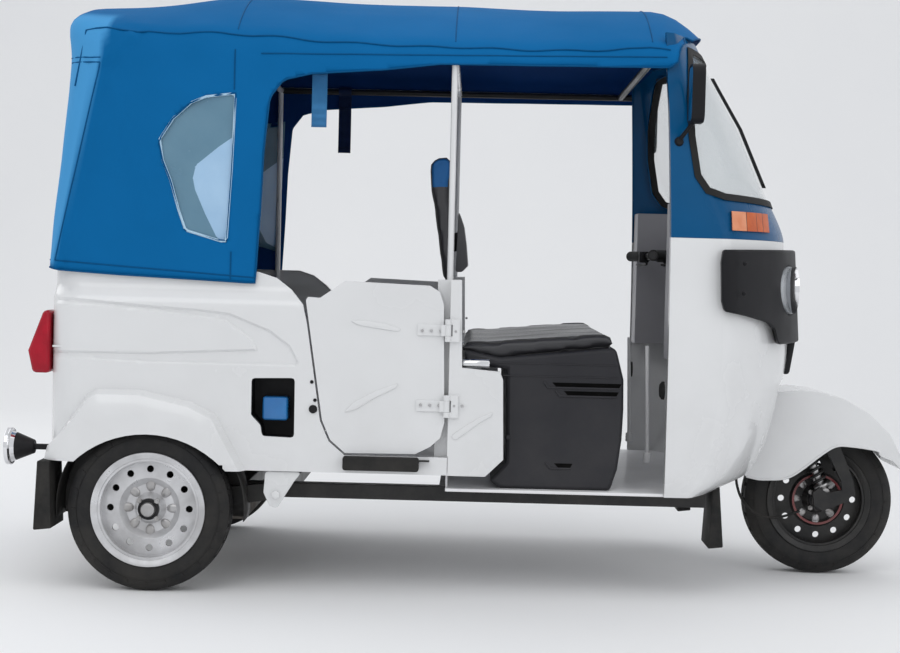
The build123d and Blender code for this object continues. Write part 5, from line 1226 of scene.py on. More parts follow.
def build_lid_knuckles():
    """Hinge knuckles and leaves above the engine lid."""
    bm = bmesh.new()
    x, z = LID_HINGE
    for y in (-0.25, 0.25):
        for shift in (-0.03, 0.03):
            start, end = y + shift - 0.014, y + shift + 0.014
            add_rod(bm, (x, start, z), (x, end, z), 0.006, bevel=0.001)
            add_box(bm, (x, start, z), (x + 0.011, end, z + 0.015), 0.001)
        add_rod(bm, (x, y - 0.03, z), (x, y + 0.03, z), 0.0035)
    finish_piece(bm, "lid_knuckles", "Bare steel")


def front_section(z, inset=0.0):
    """Level outline of the front form from its right rear edge round the nose to its left one."""
    rear_x, rear_w, side_w, corner, _, nose = eased(FRONT_ROWS, z)
    side_x = eased(FRONT_SIDE_X, z)[0]
    rear_w, side_w, nose = rear_w - inset, side_w - inset, nose - inset
    rise = nose - side_x
    radius = (side_w**2 + rise**2) / (2 * rise)
    reach = math.asin(min(1.0, side_w / radius))
    points = [(rear_x, -rear_w)]
    points += [(rear_x + (side_x - rear_x) * s, -rear_w + (rear_w - side_w) * s) for s in (0.33, 0.66, 1.0)]
    for i in range(1, 12):
        a = -reach + 2 * reach * i / 12
        points.append((nose - radius + radius * math.cos(a), radius * math.sin(a)))
    points += [(x, -y) for x, y in reversed(points[:4])]
    smooth = [Vector(points[0])]
    for before, at, after in zip(points, points[1:], points[2:]):
        at = Vector(at)
        a, b = Vector(before) - at, Vector(after) - at
        start, end = at + a * min(0.48, corner * 0.45 / a.length), at + b * min(0.48, corner * 0.45 / b.length)
        for t in (0.0, 0.25, 0.5, 0.75, 1.0):
            smooth.append(start.lerp(at, t).lerp(at.lerp(end, t), t))
    smooth.append(Vector(points[-1]))
    return smooth


def front_skin(low, high, rows, inset=0.0):
    """A sheet that follows the front form between two heights."""
    heights = [low + (high - low) * i / rows for i in range(rows + 1)]
    sections = [front_section(z, inset) for z in heights]
    bm, order = ordered_grid(len(sections[0]), rows + 1)
    for j, (z, section) in enumerate(zip(heights, sections)):
        for i, spot in enumerate(section):
            order[i * (rows + 1) + j].co = (spot.x, spot.y, z)
    return bm


def build_cowl(settings):
    """The white cowl and the blue windscreen frame."""
    bm = front_skin(0.305, COWL_TOP_Z, 46)
    beak = metres(((560, 305), (560, 300), (806, 300), (800, 309), (720, 309)))
    cut_outline(bm, beak, lambda c: abs(c.y) < 0.2)
    bay = [(-0.262, 0.2), (0.262, 0.2), (0.262, 0.615), (0.235, 0.628), (-0.235, 0.628), (-0.262, 0.615)]
    cut_outline(bm, bay, lambda c: c.x > 0.7 and c.z < 0.66, **LENGTHWISE)
    clean_slivers(bm, 0.001)
    fold_rims(bm, lambda c: inward(c) * 0.014)
    cowl = finish_piece(bm, "cowl_skin", "White enamel", replaces=("front_cowl",), crease=35)
    orient_outwards(cowl)
    thicken(cowl, settings.skin)
    bm = front_skin(COWL_TOP_Z + 0.0006, 1.64, 40)
    screen = [*SCREEN_EDGE, *metres(((1100, 1150), (1100, 1612)))]
    cut_outline(bm, rounded(screen, 0.035, 4), lambda c: c.x > 0.585)
    clean_slivers(bm, 0.001)
    fold_rims(bm, lambda c: inward(c) * 0.015)
    hood = finish_piece(bm, "windscreen_frame_skin", "Blue enamel", replaces=("windscreen_frame",), crease=35)
    orient_outwards(hood)
    thicken(hood, settings.skin)


def inward(point):
    """Level direction from a point of the front form towards its inside."""
    return (Vector((0.45, 0.0, point.z)) - Vector((point.x, point.y, point.z))).normalized()


PANEL_PRESSINGS = (  # name, body, outlines
    ("door_pressings", "door", (
        ((-352, 792), (-300, 792), (-240, 784), (-200, 770), (-214, 763), (-262, 770), (-320, 778)),
        ((-366, 524), (-330, 560), (-270, 592), (-205, 616), (-213, 602), (-272, 572), (-325, 538)))),
    ("panel_pressing", None, (
        ((-54, 466), (-20, 492), (30, 524), (68, 540), (60, 526), (24, 504), (-14, 474), (-40, 456)),)),
)


def build_door_marks():
    """Pressed ribs on the doors and side panels, and the screws of their hinges."""
    face = BODY_HALF_W + 0.0012
    for side, sign in SIDES:
        for name, body, outlines in PANEL_PRESSINGS:
            bm = bmesh.new()
            for outline in outlines:
                side_prism(bm, rounded(metres(outline), 0.008 if body else 0.006, 2), sign, face - 0.002,
                        face + 0.0022, 0.0015)
            finish_piece(bm, f"{name}_{side}", "White enamel", f"{body}_{side}" if body else "chassis")
        for name, body, shifts in (("hinge", "chassis", (0.022, 0.045)),
                ("door", f"door_{side}", (-0.022, -0.048, -0.074))):
            bm = bmesh.new()
            for z in DOOR_HINGE_Z:
                for shift in shifts:
                    x = DOOR_HINGE_X + shift
                    add_rod(bm, (x, sign * 0.606, z), (x, sign * 0.6125, z), 0.0045, 0.0035, 12, 0.001)
            finish_piece(bm, f"{name}_screws_{side}", "Bare steel", body)


# ---- front details
def build_headlamps():
    """Headlamp bowls, bulbs, lenses and the screws of their housings."""
    dress("headlamp_housings", "Black plastic", 0.014, 40)
    lens_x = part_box("headlamp_lenses")[1][0]
    bm, screws = bmesh.new(), bmesh.new()
    for sign in BOTH:
        centre = Vector((lens_x - 0.004, sign * 0.33, 0.905))
        profile = [(0.004, -0.06), (0.018, -0.058), (0.04, -0.046), (0.057, -0.026), (0.067, -0.01), (0.0705, 0.0)]
        add_lathe(bm, profile, centre - Vector((0.012, 0, 0)), (1, 0, 0), 48)
        add_rod(bm, centre + Vector((-0.065, 0, 0)), centre + Vector((-0.035, 0, 0)), 0.009, 0.006, 16, 0.002)
        for z in (0.98, 0.895):
            add_rod(screws, (0.772, sign * 0.602, z), (0.772, sign * 0.6095, z), 0.006, 0.005, 14, 0.0015)
    finish_piece(bm, "headlamp_bowls", "Reflector")
    finish_piece(screws, "headlamp_screws", "Black plastic")
    dress("headlamp_lenses", "Clear lens", 0.006, 30)


def build_grille():
    """The nose panel with its raised bars."""
    dress("front_grille", "Black plastic", 0.008, 40)
    front_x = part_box("front_grille")[1][0] - 0.004
    bm = bmesh.new()
    for i in range(7):
        across = [-0.145 + 0.29 * j / 12 for j in range(13)]
        add_tube(bm, [(front_x - 0.018 * (y / 0.15) ** 2, y, 0.83 + i * 0.022) for y in across], 0.0055, 8)
    finish_piece(bm, "grille_bars", "Black plastic")


def build_signals():
    """Turn signals: amber lens with a paler reflector, each in a black bezel."""
    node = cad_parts["turn_signals"]
    bm = bmesh.new()
    bm.from_mesh(node.data)
    bmesh.ops.remove_doubles(bm, verts=bm.verts, dist=1e-5)
    bmesh.ops.dissolve_limit(bm, angle_limit=math.radians(0.4), verts=bm.verts, edges=bm.edges)
    grooves = ((0.7885, 0.7905), (0.826, 0.8275), (0.85, 0.8515))
    for x in (x for groove in grooves for x in groove):
        geom = [*bm.verts, *bm.edges, *bm.faces]
        bmesh.ops.bisect_plane(bm, geom=geom, dist=1e-6, plane_co=(x, 0, 0), plane_no=(1, 0, 0))
    for face in bm.faces:
        x = face.calc_center_median().x
        face.material_index = 1 if x < grooves[0][0] else 2 if any(a < x < b for a, b in grooves) else 0
    lens = finish_piece(bm, "turn_signal_lenses", ["Amber lens", "Pale lens", "Black plastic"],
            replaces=("turn_signals",), turn=False)
    edges = lens.modifiers.new("Edges", "BEVEL")
    edges.width, edges.segments, edges.limit_method = 0.003, 2, "ANGLE"


def build_screen_parts():
    """Windscreen seal, glass and wiper."""
    dress("windscreen_seal", "Rubber", 0.0035, 40)
    dress("windscreen", "Glass", 0.0, 30)
    dress("wiper", "Black plastic", 0.003, 40)


def build_dash():
    """Dash, floor, bulkhead, pedal and the pod of the instruments."""
    for row in (("dash_panel", "Grey plastic", 0.008, 40), ("bulkhead", "Grey lining", 0.003, 35),
            ("instrument_pod", "Black plastic", 0.008, 40), ("floor_pan", "Grey enamel", 0.002, 35),
            ("pedal", "Black enamel", 0.003, 35)):
        dress(*row)


def build_conduits():
    """Conduits and grommets on the bulkhead."""
    bm = bmesh.new()
    for sign in BOTH:
        add_rod(bm, (0.541, sign * 0.3, 0.394), (0.532, sign * 0.3, 0.726), 0.006, sides=16)
        add_rod(bm, (0.541, sign * 0.3, 0.372), (0.541, sign * 0.3, 0.402), 0.012, sides=16, bevel=0.003)
    finish_piece(bm, "conduits", "Grey lining")
    bm = bmesh.new()
    for sign in BOTH:
        add_lathe(bm, [(0.0, 0.01), (0.018, 0.009), (0.026, 0.003), (0.027, -0.004)], (0.56, sign * 0.5, 0.606),
                (-1, 0, 0), 24)
    finish_piece(bm, "grommets", "Rubber")


def build_instrument():
    """Round instrument in the pod: its dial, rim and needle."""
    low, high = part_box("instrument_pod")
    x, z = low[0] - 0.001, (low[2] + high[2]) / 2 + 0.004
    bm = bmesh.new()
    add_rod(bm, (x + 0.006, 0, z), (x - 0.001, 0, z), 0.036, sides=40, bevel=0.002)
    finish_piece(bm, "instrument_dial", "Dial")
    bm = bmesh.new()
    add_lathe(bm, [(0.034, 0.0), (0.034, -0.004), (0.04, -0.004), (0.041, 0.004)], (x, 0, z), (1, 0, 0), 40)
    add_rod(bm, (x - 0.002, 0.0, z), (x - 0.002, 0.018, z + 0.018), 0.0015, sides=8)
    finish_piece(bm, "instrument_rim", "Black plastic")


def build_mirrors():
    """Mirror shells, arms and glasses."""
    dress("mirrors", "Black plastic", 0.007, 40)
    dress("mirror_glasses", "Mirror", 0.0008, 30)
    bm = bmesh.new()
    for sign in BOTH:
        add_lathe(bm, [(0.0, 0.01), (0.01, 0.009), (0.013, 0.004), (0.014, 0.0)], (0.578, sign * 0.5715, 1.324),
                (0.2, sign, 0.1), 20)
    finish_piece(bm, "mirror_feet", "Black plastic")


# ---- wheels and running gear
def build_tyre(name, body, x, y, settings):
    """A tyre turned from its section, with tread blocks cut in by rows."""
    profile = [(0.149, -0.04), (0.152, -0.047), (0.16, -0.05), (0.17, -0.0535), (0.186, -0.0565), (0.2, -0.056),
            (0.212, -0.053), (0.221, -0.049), (0.2275, -0.0445), (0.2325, -0.04), (0.2338, -0.03), (0.2343, -0.021),
            (0.229, -0.0198), (0.229, -0.0165), (0.235, -0.0153), (0.2356, -0.006), (0.23, -0.0048), (0.23, -0.002),
            (0.2358, -0.0008)]
    profile += [(r, -a) for r, a in reversed(profile)]
    profile += [(0.146, 0.03), (0.145, 0.0), (0.146, -0.03), (0.149, -0.04)]
    bm = bmesh.new()
    centre = Vector((x, y, AXLE_Z))
    add_lathe(bm, profile, centre, (0, 1, 0), settings.steps)
    blocks = []
    for face in bm.faces:
        offset = face.calc_center_median() - centre
        radius, side = math.hypot(offset.x, offset.z), offset.y
        turn = math.degrees(math.atan2(offset.z, offset.x)) % 360
        index = int(turn / (360 / settings.steps))
        if radius > 0.2315 and 0.0155 < abs(side) < 0.0415 and (index + (2 if side > 0 else 0)) % 4 == 0:
            blocks.append(face)
        elif radius > 0.233 and 0.001 < abs(side) < 0.0155 and (index + (3 if side > 0 else 1)) % 6 == 0:
            blocks.append(face)
    made = bmesh.ops.extrude_discrete_faces(bm, faces=blocks)["faces"]
    for face in made:
        spot = face.calc_center_median() - centre
        out = Vector((spot.x, 0, spot.z)).normalized()
        bmesh.ops.scale(bm, vec=(0.86, 0.94, 0.86), space=Matrix.Translation(-face.calc_center_median()),
                verts=face.verts)
        bmesh.ops.translate(bm, verts=face.verts, vec=-out * settings.lug_depth * 0.6)
    tyre = finish_piece(bm, f"{name}_tyre", "Tread rubber", body, 38, (f"tyre_{name}",))
    marks = bmesh.new()
    for side in BOTH:
        for radius, rise in ((0.205, 0.0562), (0.166, 0.0525)):
            ring = [centre + Vector((radius * math.cos(a), side * rise, radius * math.sin(a)))
                    for a in [math.tau * i / 96 for i in range(96)]]
            add_tube(marks, ring, 0.0011, 5, closed=True)
        for i in range(24):
            a = math.tau * i / 24
            out = Vector((math.cos(a), 0, math.sin(a)))
            add_tube(marks, [centre + out * 0.208 + Vector((0, side * 0.0555, 0)),
                    centre + out * 0.219 + Vector((0, side * 0.0505, 0))], 0.0014, 5)
    finish_piece(marks, f"{name}_tyre_marks", "Tread rubber", body, 60)
    return tyre


def build_rim(name, body, x, y, outer, finish):
    """The rim's well and flanges, bolts, boss and valve, on the pressed wheel of the frame."""
    slot = "black_paint" if name == "front" else "silver_paint"
    dress(f"rim_{name}", finish, 0.0015, 35, body, slot)
    centre = Vector((x, y, AXLE_Z))
    bm = bmesh.new()
    for side in BOTH:
        flange = [(0.1455, 0.036), (0.149, 0.041), (0.15, 0.046), (0.1545, 0.049), (0.162, 0.052), (0.165, 0.0545),
                (0.164, 0.057), (0.16, 0.056), (0.153, 0.0525), (0.147, 0.05), (0.144, 0.044), (0.1425, 0.038)]
        add_lathe(bm, [(r, a * side) for r, a in flange], centre, (0, 1, 0), 96)
    finish_piece(bm, f"{name}_rim_flanges", finish, body, 40)
    low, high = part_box(f"rim_{name}")
    solid = bmesh.new()
    solid.from_mesh(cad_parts[f"rim_{name}"].data)
    disc = BVHTree.FromBMesh(solid)
    solid.free()
    bm, rings = bmesh.new(), bmesh.new()
    sides = (-1, 1) if name == "front" else (outer,)
    for side in sides:
        hub_face = side * max(abs(low[1] - y), abs(high[1] - y))
        add_lathe(rings, [(0.0185, 0.001), (0.02, 0.004), (0.029, 0.003), (0.031, -0.004), (0.0185, -0.004)],
                (x, y + hub_face * 0.985, AXLE_Z), (0, side, 0), 32)
        for i in range(8):
            a = math.tau * i / 8
            hit = disc.ray_cast(Vector((x + 0.066 * math.cos(a), y + side * 0.2, AXLE_Z + 0.066 * math.sin(a))),
                    Vector((0, -side, 0)))[0]
            if hit:
                place = Matrix.Translation(hit) @ Matrix.Rotation(-a, 4, "Y") @ Matrix.Diagonal((1.0, 0.35, 0.7, 1.0))
                bmesh.ops.create_uvsphere(bm, u_segments=16, v_segments=8, radius=0.019, matrix=place)
        for i in range(4):
            a = math.tau * (i + 0.5) / 4
            spot = centre + Vector((0.036 * math.cos(a), 0, 0.036 * math.sin(a)))
            start = Vector((spot.x, y + hub_face * 0.98, spot.z))
            add_rod(bm, start, start + Vector((0, side * 0.007, 0)), 0.0085, 0.008, 6, 0.001)
            add_rod(bm, start, start + Vector((0, side * 0.012, 0)), 0.0045, 0.0042, 12, 0.0008)
        cap = Vector((x, y + hub_face * 0.985, AXLE_Z))
        add_lathe(bm, [(0.0215, 0.0), (0.0215, side * 0.006), (0.019, side * 0.011), (0.012, side * 0.0135),
                (0.0, side * 0.0145)], cap, (0, 1, 0), 32)
    finish_piece(bm, f"{name}_wheel_bolts", "Bare steel", body, 35)
    finish_piece(rings, f"{name}_hub_rings", "Black plastic", body, 35)
    return centre


def build_wheels(settings):
    """Tyres, rims and their small parts."""
    for name, body, x, y, outer in WHEELS:
        build_tyre(name, body, x, y, settings)
        centre = build_rim(name, body, x, y, outer, "Black enamel" if name == "front" else "Wheel silver")
        if name == "front":
            bm = bmesh.new()
            add_lathe(bm, [(0.074, -0.0325), (0.081, -0.0335), (0.081, -0.035), (0.074, -0.0352), (0.0735, -0.0325)],
                    centre, (0, 1, 0), 72)
            finish_piece(bm, "front_wheel_stripe", "Red stripe", body, 40)


def build_fender():
    """The front wheel's guard: a domed blade with a rolled edge."""
    dress("front_fender", "White enamel", 0.004, 50, "steering")
    bm = bmesh.new()
    for side in BOTH:
        path = [(x, side * (FENDER_HALF_W - 0.001), z) for x, z in smooth_path(FENDER_LOW, 4)]
        add_tube(bm, path, 0.0042, 8)
    finish_piece(bm, "front_fender_rolled_edges", "White enamel", "steering", 60)


def build_fork():
    """Fork, handlebar and grips."""
    dress("steering_stem", "Black enamel", 0.003, 40, "steering")
    dress("handlebar", "Black enamel", 0.0, 50, "steering")
    dress("hand_grips", "Rubber", 0.002, 50, "steering")


def build_spring():
    """Coil and damper beside the front wheel."""
    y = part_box("spring_unit")[0][1] + 0.024
    foot, top = Vector((1.118, y, 0.29)), Vector((1.076, y, 0.382))
    along = top - foot
    turn = along.to_track_quat("Z", "Y").to_matrix()
    coil_radius, coil_turns = 0.021, 5.5
    coil = []
    for i in range(150):
        t = i / 149
        a = math.tau * coil_turns * t
        coil.append(foot + along * t + turn @ Vector((coil_radius * math.cos(a), coil_radius * math.sin(a), 0)))
    bm = bmesh.new()
    add_tube(bm, coil, 0.0042, 8)
    finish_piece(bm, "front_coil", "Black enamel", "steering", 60)
    bm = bmesh.new()
    for start, end, radius, sides in (
            (foot - along * 0.2, top + along * 0.2, 0.0125, 24),
            (foot - along * 0.06, foot + along * 0.02, 0.026, 28),
            (top - along * 0.02, top + along * 0.06, 0.026, 28)):
        add_rod(bm, start, end, radius, sides=sides, bevel=0.002)
    for spot in (foot - along * 0.26, top + along * 0.26):
        add_rod(bm, spot + Vector((0, -0.017, 0)), spot + Vector((0, 0.017, 0)), 0.014, sides=24, bevel=0.002)
    finish_piece(bm, "front_damper", "Bare steel", "steering", 40, replaces=("spring_unit",))


def build_brake_cable():
    """Cable that runs round the front wheel to its brake."""
    bm = bmesh.new()
    y = -0.098
    cable = smooth_path([(0.905, -0.085, 0.505), (0.872, y, 0.42), (0.846, y, 0.33), (0.852, y, 0.27),
            (0.878, y, 0.222), (0.925, y, 0.19), (0.985, -0.094, 0.185), (1.05, -0.088, 0.205)], 6)
    add_tube(bm, cable, 0.0042, 8)
    finish_piece(bm, "front_brake_cable", "Rubber", "steering", 60)


def build_hand_levers():
    """Lever and clamp at each grip."""
    bm = bmesh.new()
    for sign in BOTH:
        low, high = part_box("hand_grips")
        inner = Vector((0.575, sign * 0.275, (low[2] + high[2]) / 2))
        reach = ((0.004, 0.0, -0.018), (0.008, 0.024, -0.025), (0.004, 0.055, -0.028), (-0.006, 0.085, -0.029),
                (-0.014, 0.11, -0.028))
        lever = smooth_path([inner + Vector((x, sign * y, z)) for x, y, z in reach], 5)
        add_tube(bm, lever, 0.0052, 8, flat=0.7)
        add_box(bm, inner - Vector((0.02, 0.018, 0.02)), inner + Vector((0.013, 0.018, 0.016)), 0.004)
    finish_piece(bm, "hand_levers", "Black plastic", "steering", 50)


def build_chassis():
    """Chassis rails, arms, engine, frames, steps and side panels."""
    for node, finish, bevel, slot in (
            ("chassis_frame", "Black enamel", 0.003, None), ("steering_head", "Black enamel", 0.003, None),
            ("trailing_arms", "Black enamel", 0.003, "silver_paint"), ("engine_block", "Cast metal", 0.006, None),
            ("partition_frame", "Black enamel", 0.003, None), ("passenger_seat_base", "Black enamel", 0.003, None),
            ("steps", "Rubber", 0.004, None), ("service_tray", "Black plastic", 0.003, None),
            ("fluid_unit", "Blue plastic", 0.005, None), ("side_panel_right", "White enamel", 0.003, None),
            ("side_panel_left", "White enamel", 0.003, None)):
        dress(node, finish, bevel, 38, slot=slot)
    tubes = dress("canopy_frame", "White enamel", 0.0, 38)
    recolour(tubes, "Black enamel", lambda c: c.z > 1.5 and abs(c.x + 0.066) > 0.05 and c.x > -0.66)


def build_pivot_brackets():
    """Brackets and bolts of the rear arms."""
    bm = bmesh.new()
    bracket = metres(((-584, 352), (-588, 290), (-570, 252), (-548, 246), (-500, 324), (-478, 352)))
    for sign in BOTH:
        side_prism(bm, rounded(bracket, 0.012, 3), sign, 0.586, 0.592, 0.002)
        add_rod(bm, (-0.552, sign * 0.58, 0.285), (-0.552, sign * 0.602, 0.285), 0.013, sides=6, bevel=0.001)
    finish_piece(bm, "pivot_brackets", "White enamel")


def build_doors():
    """Side doors and engine lid."""
    for name in ("door_right", "door_left"):
        dress(name, "White enamel", 0.004, 38, name)
    dress("engine_lid", "White enamel", 0.004, 38, "engine_lid")


def build_engine_fins():
    """Cooling fins round the engine."""
    bm = bmesh.new()
    low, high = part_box("engine_block")
    for i in range(9):
        x = low[0] + 0.06 + i * 0.026
        add_box(bm, (x, low[1] - 0.022, low[2] + 0.1), (x + 0.006, high[1] + 0.022, high[2] - 0.06), 0.001)
    finish_piece(bm, "engine_fins", "Cast metal")


def build_mud_flaps():
    """Flaps behind the front and rear wheels, tapered, with the rods that hold the front ones."""
    bm = bmesh.new()
    rear = metres(((-1231, 371), (-1196, 371), (-1188, 178), (-1240, 172)))
    front = metres(((722, 324), (742, 324), (757, 142), (712, 137)))
    for sign in BOTH:
        side_prism(bm, rounded(rear, 0.004, 2), sign, 0.49, 0.64, 0.003)
        side_prism(bm, rounded(front, 0.004, 2), sign, 0.3, 0.45, 0.003)
        add_rod(bm, (0.732, sign * 0.22, 0.314), (0.732, sign * 0.452, 0.314), 0.006)
    finish_piece(bm, "mud_flaps", "Rubber", replaces=("mudflaps",))


def build_step_treads():
    """Raised treads on the steps."""
    bm = bmesh.new()
    for i in range(5):
        for sign in BOTH:
            x = -0.35 + i * 0.052
            side_box(bm, sign, (x, x + 0.03), (0.575, 0.624), (0.3935, 0.3965))
    finish_piece(bm, "step_treads", "Rubber")


def build_rear_lights():
    """Tail lamps and the lamps under the rear edge."""
    dress("tail_lamps", "Red lens", 0.01, 40)
    lamps = dress("rear_lamps", "Black plastic", 0.004, 40)
    rear_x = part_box("rear_lamps")[0][0]
    recolour(lamps, "Reflector", lambda c: c.x < rear_x + 0.034)
    bm = bmesh.new()
    for sign in BOTH:
        centre = (rear_x, sign * 0.5, 0.396)
        add_lathe(bm, [(0.0, 0.0), (0.03, 0.0005), (0.046, 0.002), (0.0525, 0.006), (0.0545, 0.012), (0.052, 0.015)],
                centre, (1, 0, 0), 48)
    finish_piece(bm, "rear_lamp_faces", "Reflector")


# ---- seats
CLOTH = {"quality": 5, "mass": 0.4, "tension_stiffness": 40, "compression_stiffness": 40, "shear_stiffness": 20,
        "bending_stiffness": 4, "use_pressure": True}


def inflate(name, outline, half_width, settings, cap):
    """A stuffed seat piece: a rounded block, remeshed and blown up by a cloth simulation."""
    bm = bmesh.new()
    add_prism(bm, rounded(grown(outline, -0.008), 0.016, 3), -half_width + 0.01, half_width - 0.01, 0.012, 3)
    mesh = bpy.data.meshes.new(name)
    bmesh.ops.recalc_face_normals(bm, faces=bm.faces)
    bm.to_mesh(mesh)
    bm.free()
    piece = placed(name, mesh)
    remesh = piece.modifiers.new("Even mesh", "REMESH")
    remesh.mode = "VOXEL"
    remesh.voxel_size = settings.voxel * 1.0
    scene = bpy.context.scene
    scene.frame_set(1)
    first = [v.co.copy() for v in piece.evaluated_get(bpy.context.evaluated_depsgraph_get()).data.vertices]
    cloth = piece.modifiers.new("Stuffing", "CLOTH")
    for key, value in CLOTH.items():
        setattr(cloth.settings, key, value)
    cloth.settings.uniform_pressure_force = settings.pressure
    cloth.settings.effector_weights.gravity = 0.0
    cloth.point_cache.frame_start, cloth.point_cache.frame_end = 1, settings.frames
    for number in range(1, settings.frames + 1):
        scene.frame_set(number)
    still = bpy.data.meshes.new_from_object(piece.evaluated_get(bpy.context.evaluated_depsgraph_get()))
    piece.modifiers.clear()
    scene.frame_set(1)
    bm = bmesh.new()
    bm.from_mesh(still)
    for vert, start in zip(bm.verts, first):
        move = vert.co - start
        if move.length > cap:
            vert.co = start + move * (cap / move.length)
    bpy.data.objects.remove(piece)
    bpy.data.meshes.remove(mesh)
    return bm


def fit_between(bm, low, high):
    """Scales and moves a piece so that it fills the box between two corners."""
    spots = [v.co for v in bm.verts]
    for axis in range(3):
        a, b = min(s[axis] for s in spots), max(s[axis] for s in spots)
        for spot in spots:
            spot[axis] = low[axis] + (spot[axis] - a) * (high[axis] - low[axis]) / (b - a)


def stitch_channels(bm, name, low, high):
    """Draws a seat piece in along its stitched lines and lets its cover wave a little."""
    lines = [0.0] if name == "driver_backrest" else [-0.26, 0.0, 0.26]
    for vert in bm.verts:
        x, y, z = vert.co
        near = min(abs(y - line) for line in lines)
        top = step(low[2] + 0.4 * (high[2] - low[2]), high[2], z) if "cushion" in name else 1.0
        dip = 0.0045 * math.exp(-(near / 0.012) ** 2) * top
        if "cushion" in name:
            vert.co.z -= dip
        else:
            vert.co.x -= dip * (1 if x > (low[0] + high[0]) / 2 else -1)
        vert.co.z += 0.002 * noise.noise(Vector((x * 11, y * 6, z * 11)))


def piping(bm, place):
    """Piped seams round a seat piece at a distance to both sides of its middle."""
    seam = bmesh.new()
    for side in BOTH:
        part = bm.copy()
        bmesh.ops.bisect_plane(part, geom=[*part.verts, *part.edges, *part.faces], dist=1e-6,
                plane_co=(0, side * place, 0), plane_no=(0, side, 0), clear_outer=True)
        for path, closed in binding_loops(part):
            add_tube(seam, path, 0.0036, 6, closed)
        part.free()
    return seam


def build_seats(settings):
    """Cushions and backrests, stuffed, with piped seams."""
    cushion = metres(((-21, 713), (83, 692), (401, 727), (407, 742), (388, 757), (257, 750), (82, 735), (-22, 731)))
    back = metres(((-133, 1263), (-105, 1279), (-77, 1280), (-81, 1188), (-72, 910), (-90, 910), (-120, 1141),
            (-128, 1187)))
    bench = metres(((-1060, 701), (-1060, 820), (-610, 812), (-590, 790), (-600, 701)))
    rest = metres(((-1062, 821), (-1010, 820), (-1075, 1220), (-1100, 1240), (-1125, 1220)))
    for name, outline, half, cap in (("driver_cushion", cushion, 0.5, 0.007), ("driver_backrest", back, 0.25, 0.005),
            ("passenger_cushion", bench, 0.51, 0.014), ("passenger_backrest", rest, 0.505, 0.014)):
        bm = inflate(f"{name}_form", outline, half, settings, cap)
        low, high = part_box(name)
        if name == "driver_cushion":
            high = (high[0], high[1], high[2] - 0.026)
        grow = 0.004 if "cushion" in name else 0.003
        fit_between(bm, [v - grow for v in low], [v + grow for v in high])
        stitch_channels(bm, name, low, high)
        seam = piping(bm, half - 0.014)
        blue = name == "driver_backrest"
        for face in bm.faces:
            face.material_index = 1 if blue and face.calc_center_median().z > 1.196 else 0
        pad = finish_piece(bm, f"{name}_cover", ["Seat vinyl", "Cover cloth"] if blue else "Seat vinyl",
                replaces=(name,), crease=70)
        smooth = pad.modifiers.new("Smooth", "SUBSURF")
        smooth.levels = smooth.render_levels = 1
        finish_piece(seam, f"{name}_piping", "Seat piping", crease=70)


def build_lumbar_pad():
    """Pad behind the driver's backrest and the bracket that holds it."""
    bm = bmesh.new()
    wedge = metres(((-50, 1127), (-55, 935), (-36, 936), (-18, 955), (-24, 1020), (-33, 1081)))
    add_prism(bm, rounded(wedge, 0.008, 3), -0.24, 0.24, 0.006, 3)
    add_box(bm, (-0.078, -0.03, 1.0), (-0.048, 0.03, 1.06), 0.004)
    finish_piece(bm, "lumbar_pad", "Seat vinyl", crease=50)


def build_seat_base():
    """Moulded base of the driver's seat with its ribs, slots and pivot bars."""
    dress("seat_base", "Seat base plastic", 0.01, 45)
    bm, slots = bmesh.new(), bmesh.new()
    half = -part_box("seat_base")[0][1]
    for sign in BOTH:
        face = sign * half
        for x0, x1, z0 in ((0.224, 0.436, 0.612), (0.258, 0.428, 0.588), (0.235, 0.3, 0.378)):
            skew = [(x0 + 0.012, z0 + 0.013), (x1, z0 + 0.013), (x1 - 0.006, z0 + 0.001), (x0 + 0.024, z0 + 0.001)]
            side_prism(slots, skew, sign, half - 0.002, half + 0.0012)
            add_rod(bm, (x0, face, z0 - 0.002), (x1 - 0.006, face, z0 - 0.002), 0.0036, sides=10)
            add_rod(bm, (x0, face, z0 - 0.002), (x0 - 0.012, face, z0 + 0.014), 0.0036, sides=10)
        for z in (0.676, 0.64):
            side_box(bm, sign, (-0.01, 0.424), (half, half + 0.002), (z, z + 0.004))
        add_rod(bm, (0.112, face, 0.464), (0.112, face + sign * 0.004, 0.464), 0.007, 0.006, 16, 0.001)
    finish_piece(bm, "seat_base_ribs", "Seat base plastic")
    finish_piece(slots, "seat_base_slots", "Slot shadow")
    bm = bmesh.new()
    for sign in BOTH:
        place = sign * (half + 0.016)
        add_rod(bm, (-0.036, place, 0.674), (0.054, place, 0.674), 0.0148, sides=32, bevel=0.003)
    finish_piece(bm, "seat_pivot_bars", "Chrome")


